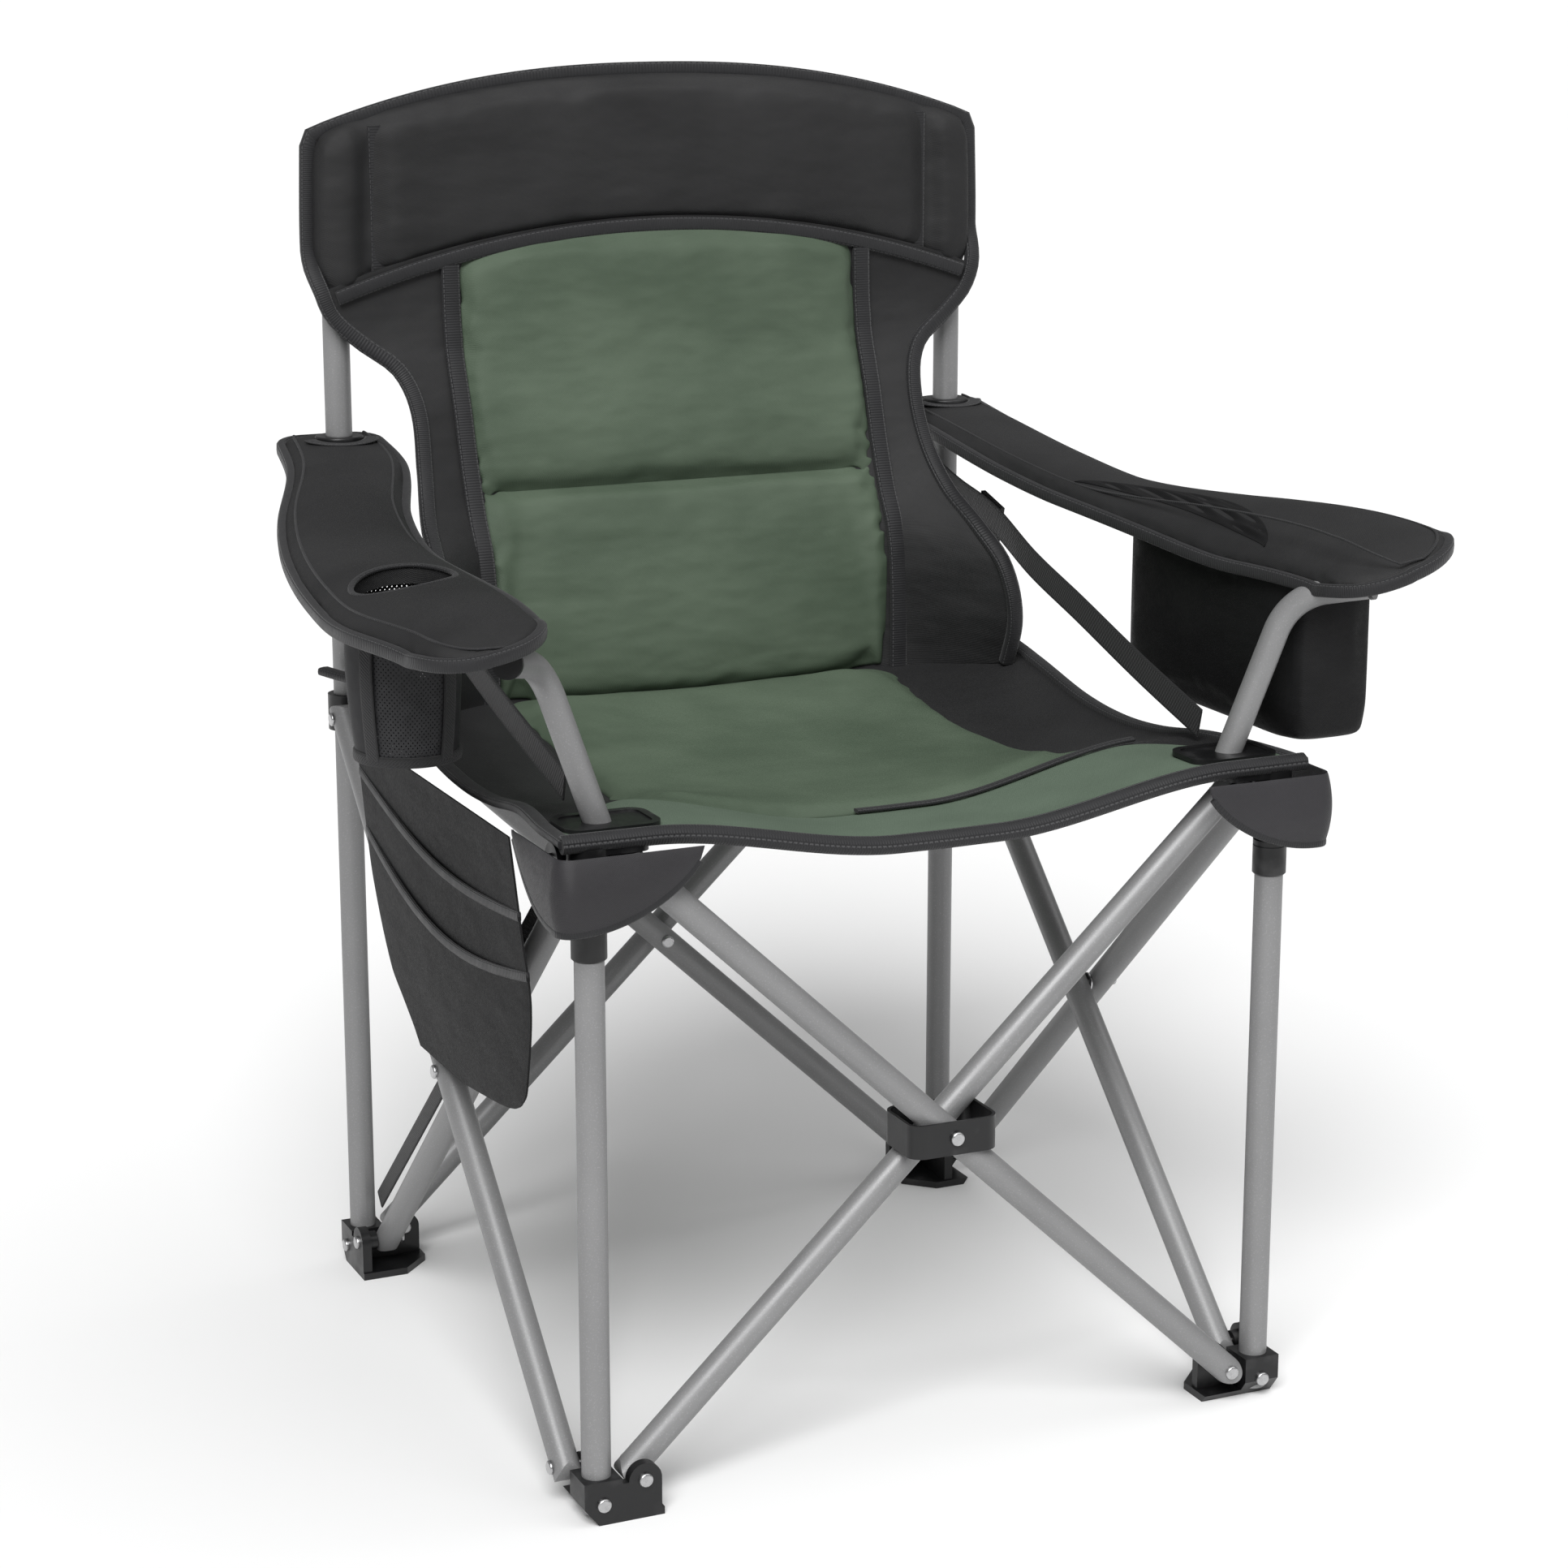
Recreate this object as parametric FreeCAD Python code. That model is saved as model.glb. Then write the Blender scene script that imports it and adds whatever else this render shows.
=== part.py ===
import FreeCAD, Part
import math
import os

Vector = FreeCAD.Vector

# A folding camp chair: four crossed pairs of steel tubes fold the frame like an umbrella, and a
# padded fabric seat, back and arms hang on it. Millimetres, +Z up, front towards -Y, and left is
# the side that a person facing the chair sees on the left (-X).

# footprint and frame
legSpacing = 560.0          # between leg axes, the same both ways so that all eight braces are equal
halfSpacing = legSpacing / 2.0
legCentreY = 5.0            # the leg square sits behind the middle of the whole chair
tubeRadius = 11.0           # legs, poles and braces
tubeWall = 1.2
poleTop = 955.0             # rear poles run up into the back's sleeves
legTop = 448.0              # top of the front lower legs
innerLegRadius = 9.0        # telescopes in the front lower leg
innerLegBottom = 185.0      # low enough to stay in the leg when folded
runningGap = 0.1            # radial, pins and sliding tubes
touchGap = 0.3              # between parts of different bodies that only lie side by side

# crossed braces
footPivotZ = 30.0
topPivotZ = 494.0
innerLegTop = topPivotZ + 11.0
pivotInboard = 33.0         # pivots stand in from the leg axis
braceOffset = tubeRadius + 1.0   # each brace lies this far to one side of the plane through the legs
pinRadius = 3.0
braceSolidEnd = 16.0        # the tube's ends are pressed flat and solid this far past the pivot
screwHeadRadius = 5.5
screwHeadHeight = 3.0
washerRadius = 8.0

# feet and hubs
blockHalf = 15.0            # half width of the block round a leg
footBase = 6.0              # floor of the foot, under the leg tube
footBlockTop = 34.0
earLength = 46.0            # an ear reaches this far from the leg axis
earRadius = 13.0            # round the pivot
earInner = 7.0              # ears lie between these distances from the plane through the legs
bossRadius = 8.0
bossGap = 0.4               # from a boss to the brace that it carries
baseReach = 48.0
baseCornerCut = 24.0
footChamfer = 12.0
legScrewZ = 16.0
legScrewRadius = 2.4
hubBottom = topPivotZ - 16.0
hubTop = topPivotZ + 17.4
rearHubTop = topPivotZ + 14.0
rearHubRadius = 16.0
platformBottom = topPivotZ + 12.0      # carries the arm post above the brace ends
platformBack = 52.0
platformIn = 44.0
platformOut = 12.0
platformCorner = 8.0

# collar on top of the front lower leg
collarRadius = 13.0
collarBottom = legTop - 20.0
collarTop = legTop + 9.0

# arm posts, from the hub platform up and outwards, then bent forward under the arm
postRadius = 10.0
postFloor = 1.5             # platform left under the post
postSpigot = 36.0
postFootX = halfSpacing - 19.0   # where the axis crosses the seat plate
postFootY = 32.0 - halfSpacing
postPlateZ = hubTop + 9.6
postBendX = postFootX + 44.0
postBendY = postFootY - 9.0
postBendZ = postPlateZ + 118.0
postTipX = postBendX + 40.0
postTipY = postBendY - 48.0
postTipZ = postBendZ + 13.0
postBendRadius = 48.0
postCapLength = 9.0
postCapLip = 1.0

# centre bracket round the front crossing
bracketHalfWidth = 34.0
bracketHeight = 26.0
bracketThick = 2.5
bracketGap = 1.0
bracketCorner = 9.0

# fabric, as plain solids
seatHalf = halfSpacing + 8.0
seatFrontHalf = halfSpacing + 23.0
seatFrontY = -halfSpacing - 11.0
seatWaistY = seatFrontY + 130.0
seatRearY = halfSpacing - 18.0
seatMiddleRearY = halfSpacing - 84.0
seatLap = halfSpacing - 58.0     # inner edge of the two laps behind the crease
seatThick = 5.0
seatRimZ = hubTop + seatThick + 0.4
seatEdgeZ = seatRimZ + 0.2
seatLowZ = seatRimZ - 27.8
seatFlatFrom = halfSpacing - 75.0
seatPostGap = 3.0
plateLength = 74.0
plateWidth = 50.0
plateThick = 3.7
plateCorner = 14.0
plateRim = 6.0
platePostGap = 0.5

backCornerZ = poleTop + 15.0
backTopZ = backCornerZ + 52.0
backHalf = halfSpacing + 11.0
bandHalf = halfSpacing + 18.0
bandLowZ = poleTop - 86.0
wingEndZ = bandLowZ - 52.0
wingEndHalf = halfSpacing - 13.0
bandFrontY = halfSpacing - 17.0
bandBackY = halfSpacing + 19.0
backThick = 20.0
poleHoleGap = 0.6

armThick = 14.0
armRingRadius = 20.0
armRingThick = 5.0
armRingZ = postTipZ + 68.6   # the arm's rear end stands this high on the pole
cupX = -halfSpacing - 87.0
cupY = 132.0 - halfSpacing
cupHoleRadius = 40.0
cupRadius = 45.0
cupWall = 2.5
cupTop = postTipZ + 5.0
cupBottom = cupTop - 101.0

bagInX = halfSpacing + 26.0
bagOutX = bagInX + 86.0
bagFrontY = 18.0 - halfSpacing
bagRearY = bagFrontY + 277.0
bagTop = postTipZ - 2.0
bagBottom = bagTop - 130.0
bagCorner = 18.0
bagPostRoom = 4.0

pouchX = -halfSpacing - 24.5
pouchThick = 9.0

pocketGap = halfSpacing + 31.5   # inner face of the corner pockets
pocketThick = 2.5
pocketDrop = 54.4           # from the hub's top to the pocket's lowest edge
pocketInX = halfSpacing - 75.0
pocketRearY = 65.0 - halfSpacing

strapX = halfSpacing - 14.0
strapThick = 2.0
strapWidth = 25.0
strapRearY = halfSpacing - 22.0
strapRearZ = topPivotZ + 168.0
strapFrontY = 84.0 - halfSpacing
strapFrontZ = seatEdgeZ + 19.0
buckleShare = 0.2           # of the strap's length, from its rear end
buckleHalf = 19.0
buckleThick = 4.0
buckleRim = 4.0
stayWidth = 16.0
stayFootZ = 60.0
stayTopZ = topPivotZ - 62.0

pivotRun = legSpacing - 2.0 * pivotInboard
frameCentre = Vector(0, legCentreY, 0)
upAxis = Vector(0, 0, 1)
sideNames = ["front", "right", "rear", "left"]
legNames = ["front_left", "front_right", "rear_right", "rear_left"]


def save(shape, name):
    shape.exportStep("parts/" + name + ".step")


def group(shapes):
    return Part.Compound(shapes)


def rod(start, end, radius):
    along = end - start
    return Part.makeCylinder(radius, along.Length, start, along)


def hollow(start, end, radius, wall):
    return rod(start, end, radius).cut(rod(start, end, radius - wall))


def block(low, high):
    return Part.makeBox(high.x - low.x, high.y - low.y, high.z - low.z, low)


def prism(points, along):
    return Part.Face(Part.makePolygon(points + [points[0]])).extrude(along)


def turned(shape, quarter):
    """The frame repeats by quarter turns about its middle."""
    copy = shape.copy()
    copy.rotate(frameCentre, upAxis, 90.0 * quarter)
    return copy


def atLeg(shape, quarter):
    """Move a shape drawn about the front left leg's axis to its leg."""
    copy = shape.copy()
    copy.translate(Vector(-halfSpacing, legCentreY - halfSpacing, 0))
    return turned(copy, quarter)


def swapped(shape):
    """Swap X and Y, which turns a fitting for one brace into the one beside it."""
    return shape.mirror(Vector(0, 0, 0), Vector(1, -1, 0))


def mirrored(shape, side):
    if side > 0:
        return shape
    return shape.mirror(Vector(0, 0, 0), Vector(1, 0, 0))


def roundedPlate(xHalf, yHalf, corner, low, high):
    plate = block(Vector(-xHalf, -yHalf, low), Vector(xHalf, yHalf, high))
    upright = [e for e in plate.Edges if abs(e.tangentAt(e.FirstParameter).z) > 0.9]
    return plate.makeFillet(corner, upright)


def pin(headAt, farAt, along, across, height):
    """A pan-head pivot rivet along X or Y: head outside the ear, dome beyond the brace."""
    sign = 1.0 if farAt > headAt else -1.0
    axis = Vector(sign, 0, 0) if along == "x" else Vector(0, sign, 0)
    place = Vector(headAt, across, height) if along == "x" else Vector(across, headAt, height)
    length = abs(farAt - headAt)
    shank = Part.makeCylinder(pinRadius, length, place, axis)
    head = Part.makeCylinder(screwHeadRadius, screwHeadHeight, place - axis * screwHeadHeight, axis)
    rim = [e for e in head.Edges if e.Closed and (e.CenterOfMass - place).Length > screwHeadHeight / 2]
    head = head.makeFillet(screwHeadHeight * 0.6, rim)
    far = place + axis * length
    dome = Part.makeCylinder(screwHeadRadius, screwHeadHeight * 0.8, far, axis)
    rim = [e for e in dome.Edges if e.Closed and (e.CenterOfMass - far).Length > screwHeadHeight / 2]
    dome = dome.makeFillet(screwHeadHeight * 0.6, rim)
    return shank.fuse([head, dome]).removeSplitter()


def ear(height, inner, outer, boss):
    """An upright ear along +X with a boss that reaches the brace beside it."""
    low = min(inner, outer)
    high = max(inner, outer)
    plate = block(Vector(0, low, height - earRadius + 1.0), Vector(earLength, high, height))
    eye = Part.makeCylinder(earRadius, high - low, Vector(pivotInboard, low, height), Vector(0, 1, 0))
    spacer = rod(Vector(pivotInboard, inner, height), Vector(pivotInboard, boss, height), bossRadius)
    return plate.fuse([eye, spacer])


def pinHole(height):
    reach = braceOffset + tubeRadius + blockHalf
    return rod(Vector(pivotInboard, -reach, height), Vector(pivotInboard, reach, height), pinRadius)


# where the two braces at each leg lie: the inner one towards the chair's middle
innerBoss = braceOffset - tubeRadius - bossGap
farFace = braceOffset + tubeRadius + touchGap


def makeFoot():
    body = block(Vector(-blockHalf, -blockHalf, 0), Vector(blockHalf, blockHalf, footBlockTop))
    corners = [
        Vector(-blockHalf, -blockHalf, 0),
        Vector(baseReach, -blockHalf, 0),
        Vector(baseReach, baseReach - baseCornerCut, 0),
        Vector(baseReach - baseCornerCut, baseReach, 0),
        Vector(-blockHalf, baseReach, 0),
    ]
    base = prism(corners, Vector(0, 0, footBase))
    first = ear(footPivotZ, -earInner, -blockHalf, innerBoss)
    skirt = block(Vector(0, -blockHalf, 0), Vector(earLength, -earInner, footPivotZ))
    second = swapped(ear(footPivotZ, earInner, blockHalf, -innerBoss))
    wall = block(Vector(earInner, 0, 0), Vector(blockHalf, earLength, footPivotZ))
    foot = body.fuse([base, first, skirt, second, wall]).removeSplitter()
    wedge = prism(
        [
            Vector(-blockHalf - 1, -blockHalf - 1, -1),
            Vector(-blockHalf + footChamfer, -blockHalf - 1, -1),
            Vector(-blockHalf - 1, -blockHalf - 1, footChamfer * 1.3),
        ],
        Vector(0, baseReach + blockHalf + 2, 0),
    )
    foot = foot.cut(wedge)
    foot = foot.cut(rod(Vector(0, 0, footBase), Vector(0, 0, footBlockTop + 1), tubeRadius))
    foot = foot.cut([pinHole(footPivotZ), swapped(pinHole(footPivotZ))])
    return foot


def legScrew(radius):
    start = Vector(0, -blockHalf, legScrewZ)
    return rod(start, Vector(0, -tubeRadius + tubeWall * 2, legScrewZ), radius)


def makeLegScrew():
    start = Vector(0, -blockHalf, legScrewZ)
    head = Part.makeCylinder(screwHeadRadius, screwHeadHeight, start, Vector(0, -1, 0))
    rim = [e for e in head.Edges if e.Closed and abs(e.CenterOfMass.y + blockHalf + screwHeadHeight) < 0.1]
    head = head.makeFillet(screwHeadHeight * 0.6, rim)
    return head.fuse(legScrew(legScrewRadius)).removeSplitter()


def footPins():
    inner = pin(-blockHalf, farFace, "y", pivotInboard, footPivotZ)
    outer = pin(blockHalf, -farFace, "x", pivotInboard, footPivotZ)
    return [inner, outer]


def hubPins():
    outer = pin(blockHalf, -farFace, "y", pivotInboard, topPivotZ)
    inner = pin(-blockHalf, farFace, "x", pivotInboard, topPivotZ)
    return [inner, outer]


def hubEars():
    outer = ear(topPivotZ, earInner, blockHalf, -innerBoss)
    inner = swapped(ear(topPivotZ, -earInner, -blockHalf, innerBoss))
    return [outer, inner]


def postLine(side):
    """The arm post's axis points for one side, in the chair's frame."""
    foot = Vector(side * postFootX, legCentreY + postFootY, postPlateZ)
    bend = Vector(side * postBendX, legCentreY + postBendY, postBendZ)
    tip = Vector(side * postTipX, legCentreY + postTipY, postTipZ)
    slope = (bend - foot) * (1.0 / (bend.z - foot.z))
    start = foot - slope * (foot.z - platformBottom + postRadius)
    return start, bend, tip, slope


def postRodAt(side, radius, low, high):
    start, bend, tip, slope = postLine(side)
    return rod(start + slope * (low - start.z), start + slope * (high - start.z), radius)


def makeFrontHub(side):
    quarter = 0 if side < 0 else 1
    body = Part.makeCylinder(blockHalf, hubTop - hubBottom, Vector(0, 0, hubBottom))
    hub = body.fuse(hubEars())
    hub = hub.cut([pinHole(topPivotZ), swapped(pinHole(topPivotZ))])
    hub = atLeg(hub, quarter)
    legX = side * halfSpacing
    legY = legCentreY - halfSpacing
    xs = sorted([legX + side * platformOut, legX - side * platformIn])
    platform = block(
        Vector(xs[0], legY - platformOut, platformBottom),
        Vector(xs[1], legY + platformBack, hubTop),
    )
    upright = [e for e in platform.Edges if abs(e.tangentAt(e.FirstParameter).z) > 0.9]
    platform = platform.makeFillet(platformCorner, upright)
    seatFloor = platformBottom + postFloor
    socket = postRodAt(side, postRadius + runningGap / 2, platformBottom - 20, hubTop + 20)
    above = block(Vector(-400, -400, seatFloor), Vector(400, 400, hubTop + 60))
    platform = platform.cut(socket.common(above))
    spigot = postRodAt(side, postRadius - tubeWall - runningGap, platformBottom - 20, platformBottom + postSpigot)
    spigot = spigot.common(block(Vector(-400, -400, platformBottom), Vector(400, 400, 700)))
    hub = hub.fuse([platform, spigot]).removeSplitter()
    legHole = rod(Vector(legX, legY, hubBottom - 1), Vector(legX, legY, innerLegTop), innerLegRadius)
    return hub.cut(legHole)


def makeRearHub(quarter):
    body = Part.makeCylinder(rearHubRadius, rearHubTop - hubBottom, Vector(0, 0, hubBottom))
    hub = body.fuse(hubEars()).removeSplitter()
    bore = rod(Vector(0, 0, hubBottom - 20), Vector(0, 0, rearHubTop + 20), tubeRadius + runningGap)
    return atLeg(hub.cut([bore, pinHole(topPivotZ), swapped(pinHole(topPivotZ))]), quarter)


def makeBrace(quarter, inner):
    """An inner brace rises to the right in the front pair, an outer one to the left."""
    rise = 1.0 if inner else -1.0
    depth = legCentreY - halfSpacing + rise * braceOffset
    low = Vector(-rise * pivotRun / 2, depth, footPivotZ)
    high = Vector(rise * pivotRun / 2, depth, topPivotZ)
    along = (high - low).normalize()
    across = Vector(-along.z, 0, along.x)
    side = across * (tubeRadius + 0.5)
    end = along * tubeRadius
    outline = Part.Wire([
        Part.makeLine(low + side, high + side),
        Part.Arc(high + side, high + end, high - side).toShape(),
        Part.makeLine(high - side, low - side),
        Part.Arc(low - side, low - end, low + side).toShape(),
    ])
    slab = Part.Face(outline).extrude(Vector(0, 4 * tubeRadius, 0))
    slab.translate(Vector(0, -2 * tubeRadius, 0))
    shape = rod(low - end * 2, high + end * 2, tubeRadius).common(slab)
    shape = shape.cut(rod(low + along * braceSolidEnd, high - along * braceSolidEnd, tubeRadius - tubeWall))
    for place in [low, high, (low + high) * 0.5]:
        hole = rod(place - Vector(0, 20, 0), place + Vector(0, 20, 0), pinRadius + runningGap)
        shape = shape.cut(hole)
    return turned(shape, quarter)


def crossingPoint():
    return Vector(0, legCentreY - halfSpacing, (footPivotZ + topPivotZ) / 2)


def makeCrossingRivet(quarter):
    """The rivet through both tubes with the washer that keeps them apart."""
    centre = crossingPoint()
    grip = farFace
    if quarter == 0:
        grip = braceOffset + tubeRadius + bracketGap + bracketThick + touchGap
    rivet = pin(centre.y - grip, centre.y + grip, "y", centre.x, centre.z)
    gap = braceOffset - tubeRadius - touchGap
    outer = rod(centre - Vector(0, gap, 0), centre + Vector(0, gap, 0), washerRadius)
    washer = outer.cut(rod(centre - Vector(0, 5, 0), centre + Vector(0, 5, 0), pinRadius + runningGap))
    return turned(group([rivet, washer]), quarter)


def makeBracket():
    centre = crossingPoint()
    depth = braceOffset + tubeRadius + bracketGap
    outer = roundedPlate(
        bracketHalfWidth + bracketThick, depth + bracketThick, bracketCorner + bracketThick,
        -bracketHeight / 2, bracketHeight / 2)
    inner = roundedPlate(bracketHalfWidth, depth, bracketCorner, -bracketHeight, bracketHeight)
    band = outer.cut(inner)
    reach = Vector(0, depth + bracketThick + 5, 0)
    band = band.cut(rod(reach * -1, reach, pinRadius + runningGap))
    band.translate(centre)
    return band


def makeCollar(side):
    collar = Part.makeCylinder(collarRadius, collarTop - collarBottom, Vector(0, 0, collarBottom))
    rims = [e for e in collar.Edges if e.Closed and e.Length > 6 * collarRadius]
    collar = collar.makeChamfer(1.4, rims)
    groove = Part.makeCylinder(collarRadius + 1, 1.2, Vector(0, 0, collarTop - 6))
    groove = groove.cut(Part.makeCylinder(collarRadius - 0.7, 3, Vector(0, 0, collarTop - 7)))
    collar = collar.cut(groove)
    collar = collar.cut(rod(Vector(0, 0, collarBottom - 1), Vector(0, 0, legTop), tubeRadius))
    collar = collar.cut(rod(Vector(0, 0, legTop - 1), Vector(0, 0, collarTop + 1), innerLegRadius + runningGap))
    return atLeg(collar, 0 if side < 0 else 1)


def postSweep(side, radii):
    """Round bars along the post's bent axis, one for each radius."""
    start, bend, tip, slope = postLine(side)
    rise = (bend - start).normalize()
    run = (tip - bend).normalize()
    turn = math.acos(rise.dot(run))
    cut = postBendRadius * math.tan(turn / 2)
    first = bend - rise * cut
    second = bend + run * cut
    inward = ((run - rise).normalize()) * (postBendRadius / math.cos(turn / 2))
    middle = bend + inward - (inward * (1.0 / inward.Length)) * postBendRadius
    path = Part.Wire([
        Part.makeLine(start, first),
        Part.Arc(first, middle, second).toShape(),
        Part.makeLine(second, tip),
    ])
    bars = []
    for radius in radii:
        ring = Part.Wire([Part.Circle(start, rise, radius).toShape()])
        bars.append(path.makePipeShell([ring], True, False))
    return bars


def makePost(side):
    outer, inner = postSweep(side, [postRadius, postRadius - tubeWall])
    post = outer.cut(inner)
    below = block(Vector(-500, -500, 0), Vector(500, 500, platformBottom + postFloor))
    return post.cut(below)


def makePostCap(side):
    start, bend, tip, slope = postLine(side)
    run = (tip - bend).normalize()
    plug = rod(tip - run * postCapLength, tip, postRadius - tubeWall - runningGap)
    lip = rod(tip, tip + run * postCapLip * 3, postRadius + postCapLip)
    return plug.fuse(lip).removeSplitter()


def makePoleCap(quarter):
    plug = rod(Vector(0, 0, poleTop - 14), Vector(0, 0, poleTop), tubeRadius - tubeWall)
    disc = rod(Vector(0, 0, poleTop), Vector(0, 0, poleTop + 3), tubeRadius)
    return atLeg(plug.fuse(disc).removeSplitter(), quarter)


def seatTop(x):
    """Height of the seat's top across the chair: a sag between flat rims."""
    if abs(x) > seatFlatFrom:
        return seatRimZ + (seatEdgeZ - seatRimZ) * (abs(x) - seatFlatFrom) / (seatFrontHalf - seatFlatFrom)
    return seatLowZ + (seatRimZ - seatLowZ) * (x / seatFlatFrom) ** 2


def makeSeat():
    y = legCentreY + seatFrontY
    length = seatRearY - seatFrontY

    def at(x, drop):
        return Vector(x, y, seatTop(x) - drop)

    def sagged(drop, side):
        ends = [at(-side * seatFlatFrom, drop), at(0, drop), at(side * seatFlatFrom, drop)]
        return Part.Arc(ends[0], ends[1], ends[2]).toShape()

    profile = Part.Wire([
        Part.makeLine(at(-seatFrontHalf, 0), at(-seatFlatFrom, 0)),
        sagged(0, 1),
        Part.makeLine(at(seatFlatFrom, 0), at(seatFrontHalf, 0)),
        Part.makeLine(at(seatFrontHalf, 0), at(seatFrontHalf, seatThick)),
        Part.makeLine(at(seatFrontHalf, seatThick), at(seatFlatFrom, seatThick)),
        sagged(seatThick, -1),
        Part.makeLine(at(-seatFlatFrom, seatThick), at(-seatFrontHalf, seatThick)),
        Part.makeLine(at(-seatFrontHalf, seatThick), at(-seatFrontHalf, 0)),
    ])
    slab = Part.Face(profile).extrude(Vector(0, length, 0))
    corners = [
        (-seatFrontHalf, seatFrontY), (seatFrontHalf, seatFrontY), (seatHalf, seatWaistY),
        (seatHalf, seatRearY), (seatLap, seatRearY), (seatLap, seatMiddleRearY),
        (-seatLap, seatMiddleRearY), (-seatLap, seatRearY), (-seatHalf, seatRearY), (-seatHalf, seatWaistY),
    ]
    outline = prism([Vector(cx, legCentreY + cy, seatLowZ - 60) for cx, cy in corners], Vector(0, 0, 200))
    seat = slab.common(outline)
    for side in [-1, 1]:
        seat = seat.cut(postRodAt(side, postRadius + seatPostGap, hubTop - 20, hubTop + 30))
    return seat


def makeSeatPlate(side):
    plate = roundedPlate(plateLength / 2, plateWidth / 2, plateCorner, 0, plateThick)
    dish = [plateLength / 2 - plateRim, plateWidth / 2 - plateRim, plateCorner - plateRim]
    rim = roundedPlate(dish[0], dish[1], dish[2], plateThick - 1.2, plateThick + 1)
    plate = plate.cut(rim)
    plate.translate(Vector(side * (postFootX - 6), legCentreY + postFootY - 2, seatEdgeZ + touchGap))
    return plate.cut(postRodAt(side, postRadius + platePostGap, seatEdgeZ - 20, seatEdgeZ + 30))


def backSection(height, half, middleY, wingY):
    """One level of the back: a sheet bowed forward at its sides."""
    y0 = legCentreY + middleY
    y1 = legCentreY + wingY
    front = Part.Arc(Vector(-half, y1, height), Vector(0, y0, height), Vector(half, y1, height)).toShape()
    right = Part.makeLine(Vector(half, y1, height), Vector(half, y1 + backThick, height))
    rear = Part.Arc(
        Vector(half, y1 + backThick, height),
        Vector(0, y0 + backThick, height),
        Vector(-half, y1 + backThick, height),
    ).toShape()
    left = Part.makeLine(Vector(-half, y1 + backThick, height), Vector(-half, y1, height))
    return Part.Wire([front, right, rear, left])


def makeBack():
    levels = [
        backSection(seatEdgeZ + 2.0, halfSpacing - 34.0, halfSpacing - 82.0, halfSpacing - 160.0),
        backSection(seatEdgeZ + 83.0, halfSpacing - 46.0, halfSpacing - 72.0, halfSpacing - 130.0),
        backSection(wingEndZ - 137.0, halfSpacing - 60.0, halfSpacing - 54.0, halfSpacing - 84.0),
        backSection(wingEndZ - 67.0, halfSpacing - 54.0, halfSpacing - 34.0, halfSpacing - 48.0),
        backSection(wingEndZ, wingEndHalf - 4.0, halfSpacing - 12.0, halfSpacing - 16.0),
        backSection(wingEndZ + 30.0, wingEndHalf - 4.0, halfSpacing - 8.0, halfSpacing - 12.0),
    ]
    lower = Part.makeLoft(levels, True, True)
    front = legCentreY + bandFrontY
    band = Part.Wire([
        Part.Arc(
            Vector(-backHalf, front, backCornerZ),
            Vector(0, front, backTopZ),
            Vector(backHalf, front, backCornerZ),
        ).toShape(),
        Part.makeLine(Vector(backHalf, front, backCornerZ), Vector(bandHalf, front, bandLowZ)),
        Part.makeLine(Vector(bandHalf, front, bandLowZ), Vector(wingEndHalf, front, wingEndZ)),
        Part.makeLine(Vector(wingEndHalf, front, wingEndZ), Vector(-wingEndHalf, front, wingEndZ)),
        Part.makeLine(Vector(-wingEndHalf, front, wingEndZ), Vector(-bandHalf, front, bandLowZ)),
        Part.makeLine(Vector(-bandHalf, front, bandLowZ), Vector(-backHalf, front, backCornerZ)),
    ])
    upper = Part.Face(band).extrude(Vector(0, bandBackY - bandFrontY, 0))
    back = upper.fuse(lower).removeSplitter()
    for side in [-1, 1]:
        foot = Vector(side * halfSpacing, legCentreY + halfSpacing, hubBottom)
        top = Vector(foot.x, foot.y, poleTop + 6)
        back = back.cut(rod(foot, top, tubeRadius + poleHoleGap))
    return back


# arm outlines: distance along Y from the rear pole, then the outer and the inner edge from the legs
armStations = {
    -1: [(-58, 60, -37), (-180, 104, 1), (-280, 129, 18), (-380, 144, 23), (-480, 147, 28), (-562, 127, 34)],
    1: [(-58, 44, -40), (-180, 52, -33), (-280, 66, -20), (-380, 96, 2), (-480, 131, 20), (-562, 144.6, 33)],
}
armRearPast = 38.0          # past the rear pole's axis
armRearHalf = 42.0
armFrontPast = 48.0         # past the front leg's axis
armDrawnSpan = 560.0        # the leg spacing that the arm's distances along Y are drawn for
armFrontOut = 84.0
armHeights = [(38.0, 77.0), (-280.0, 39.0), (-430.0, 31.0), (-540.0, 29.0)]
armFrontRise = 27.0


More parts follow.
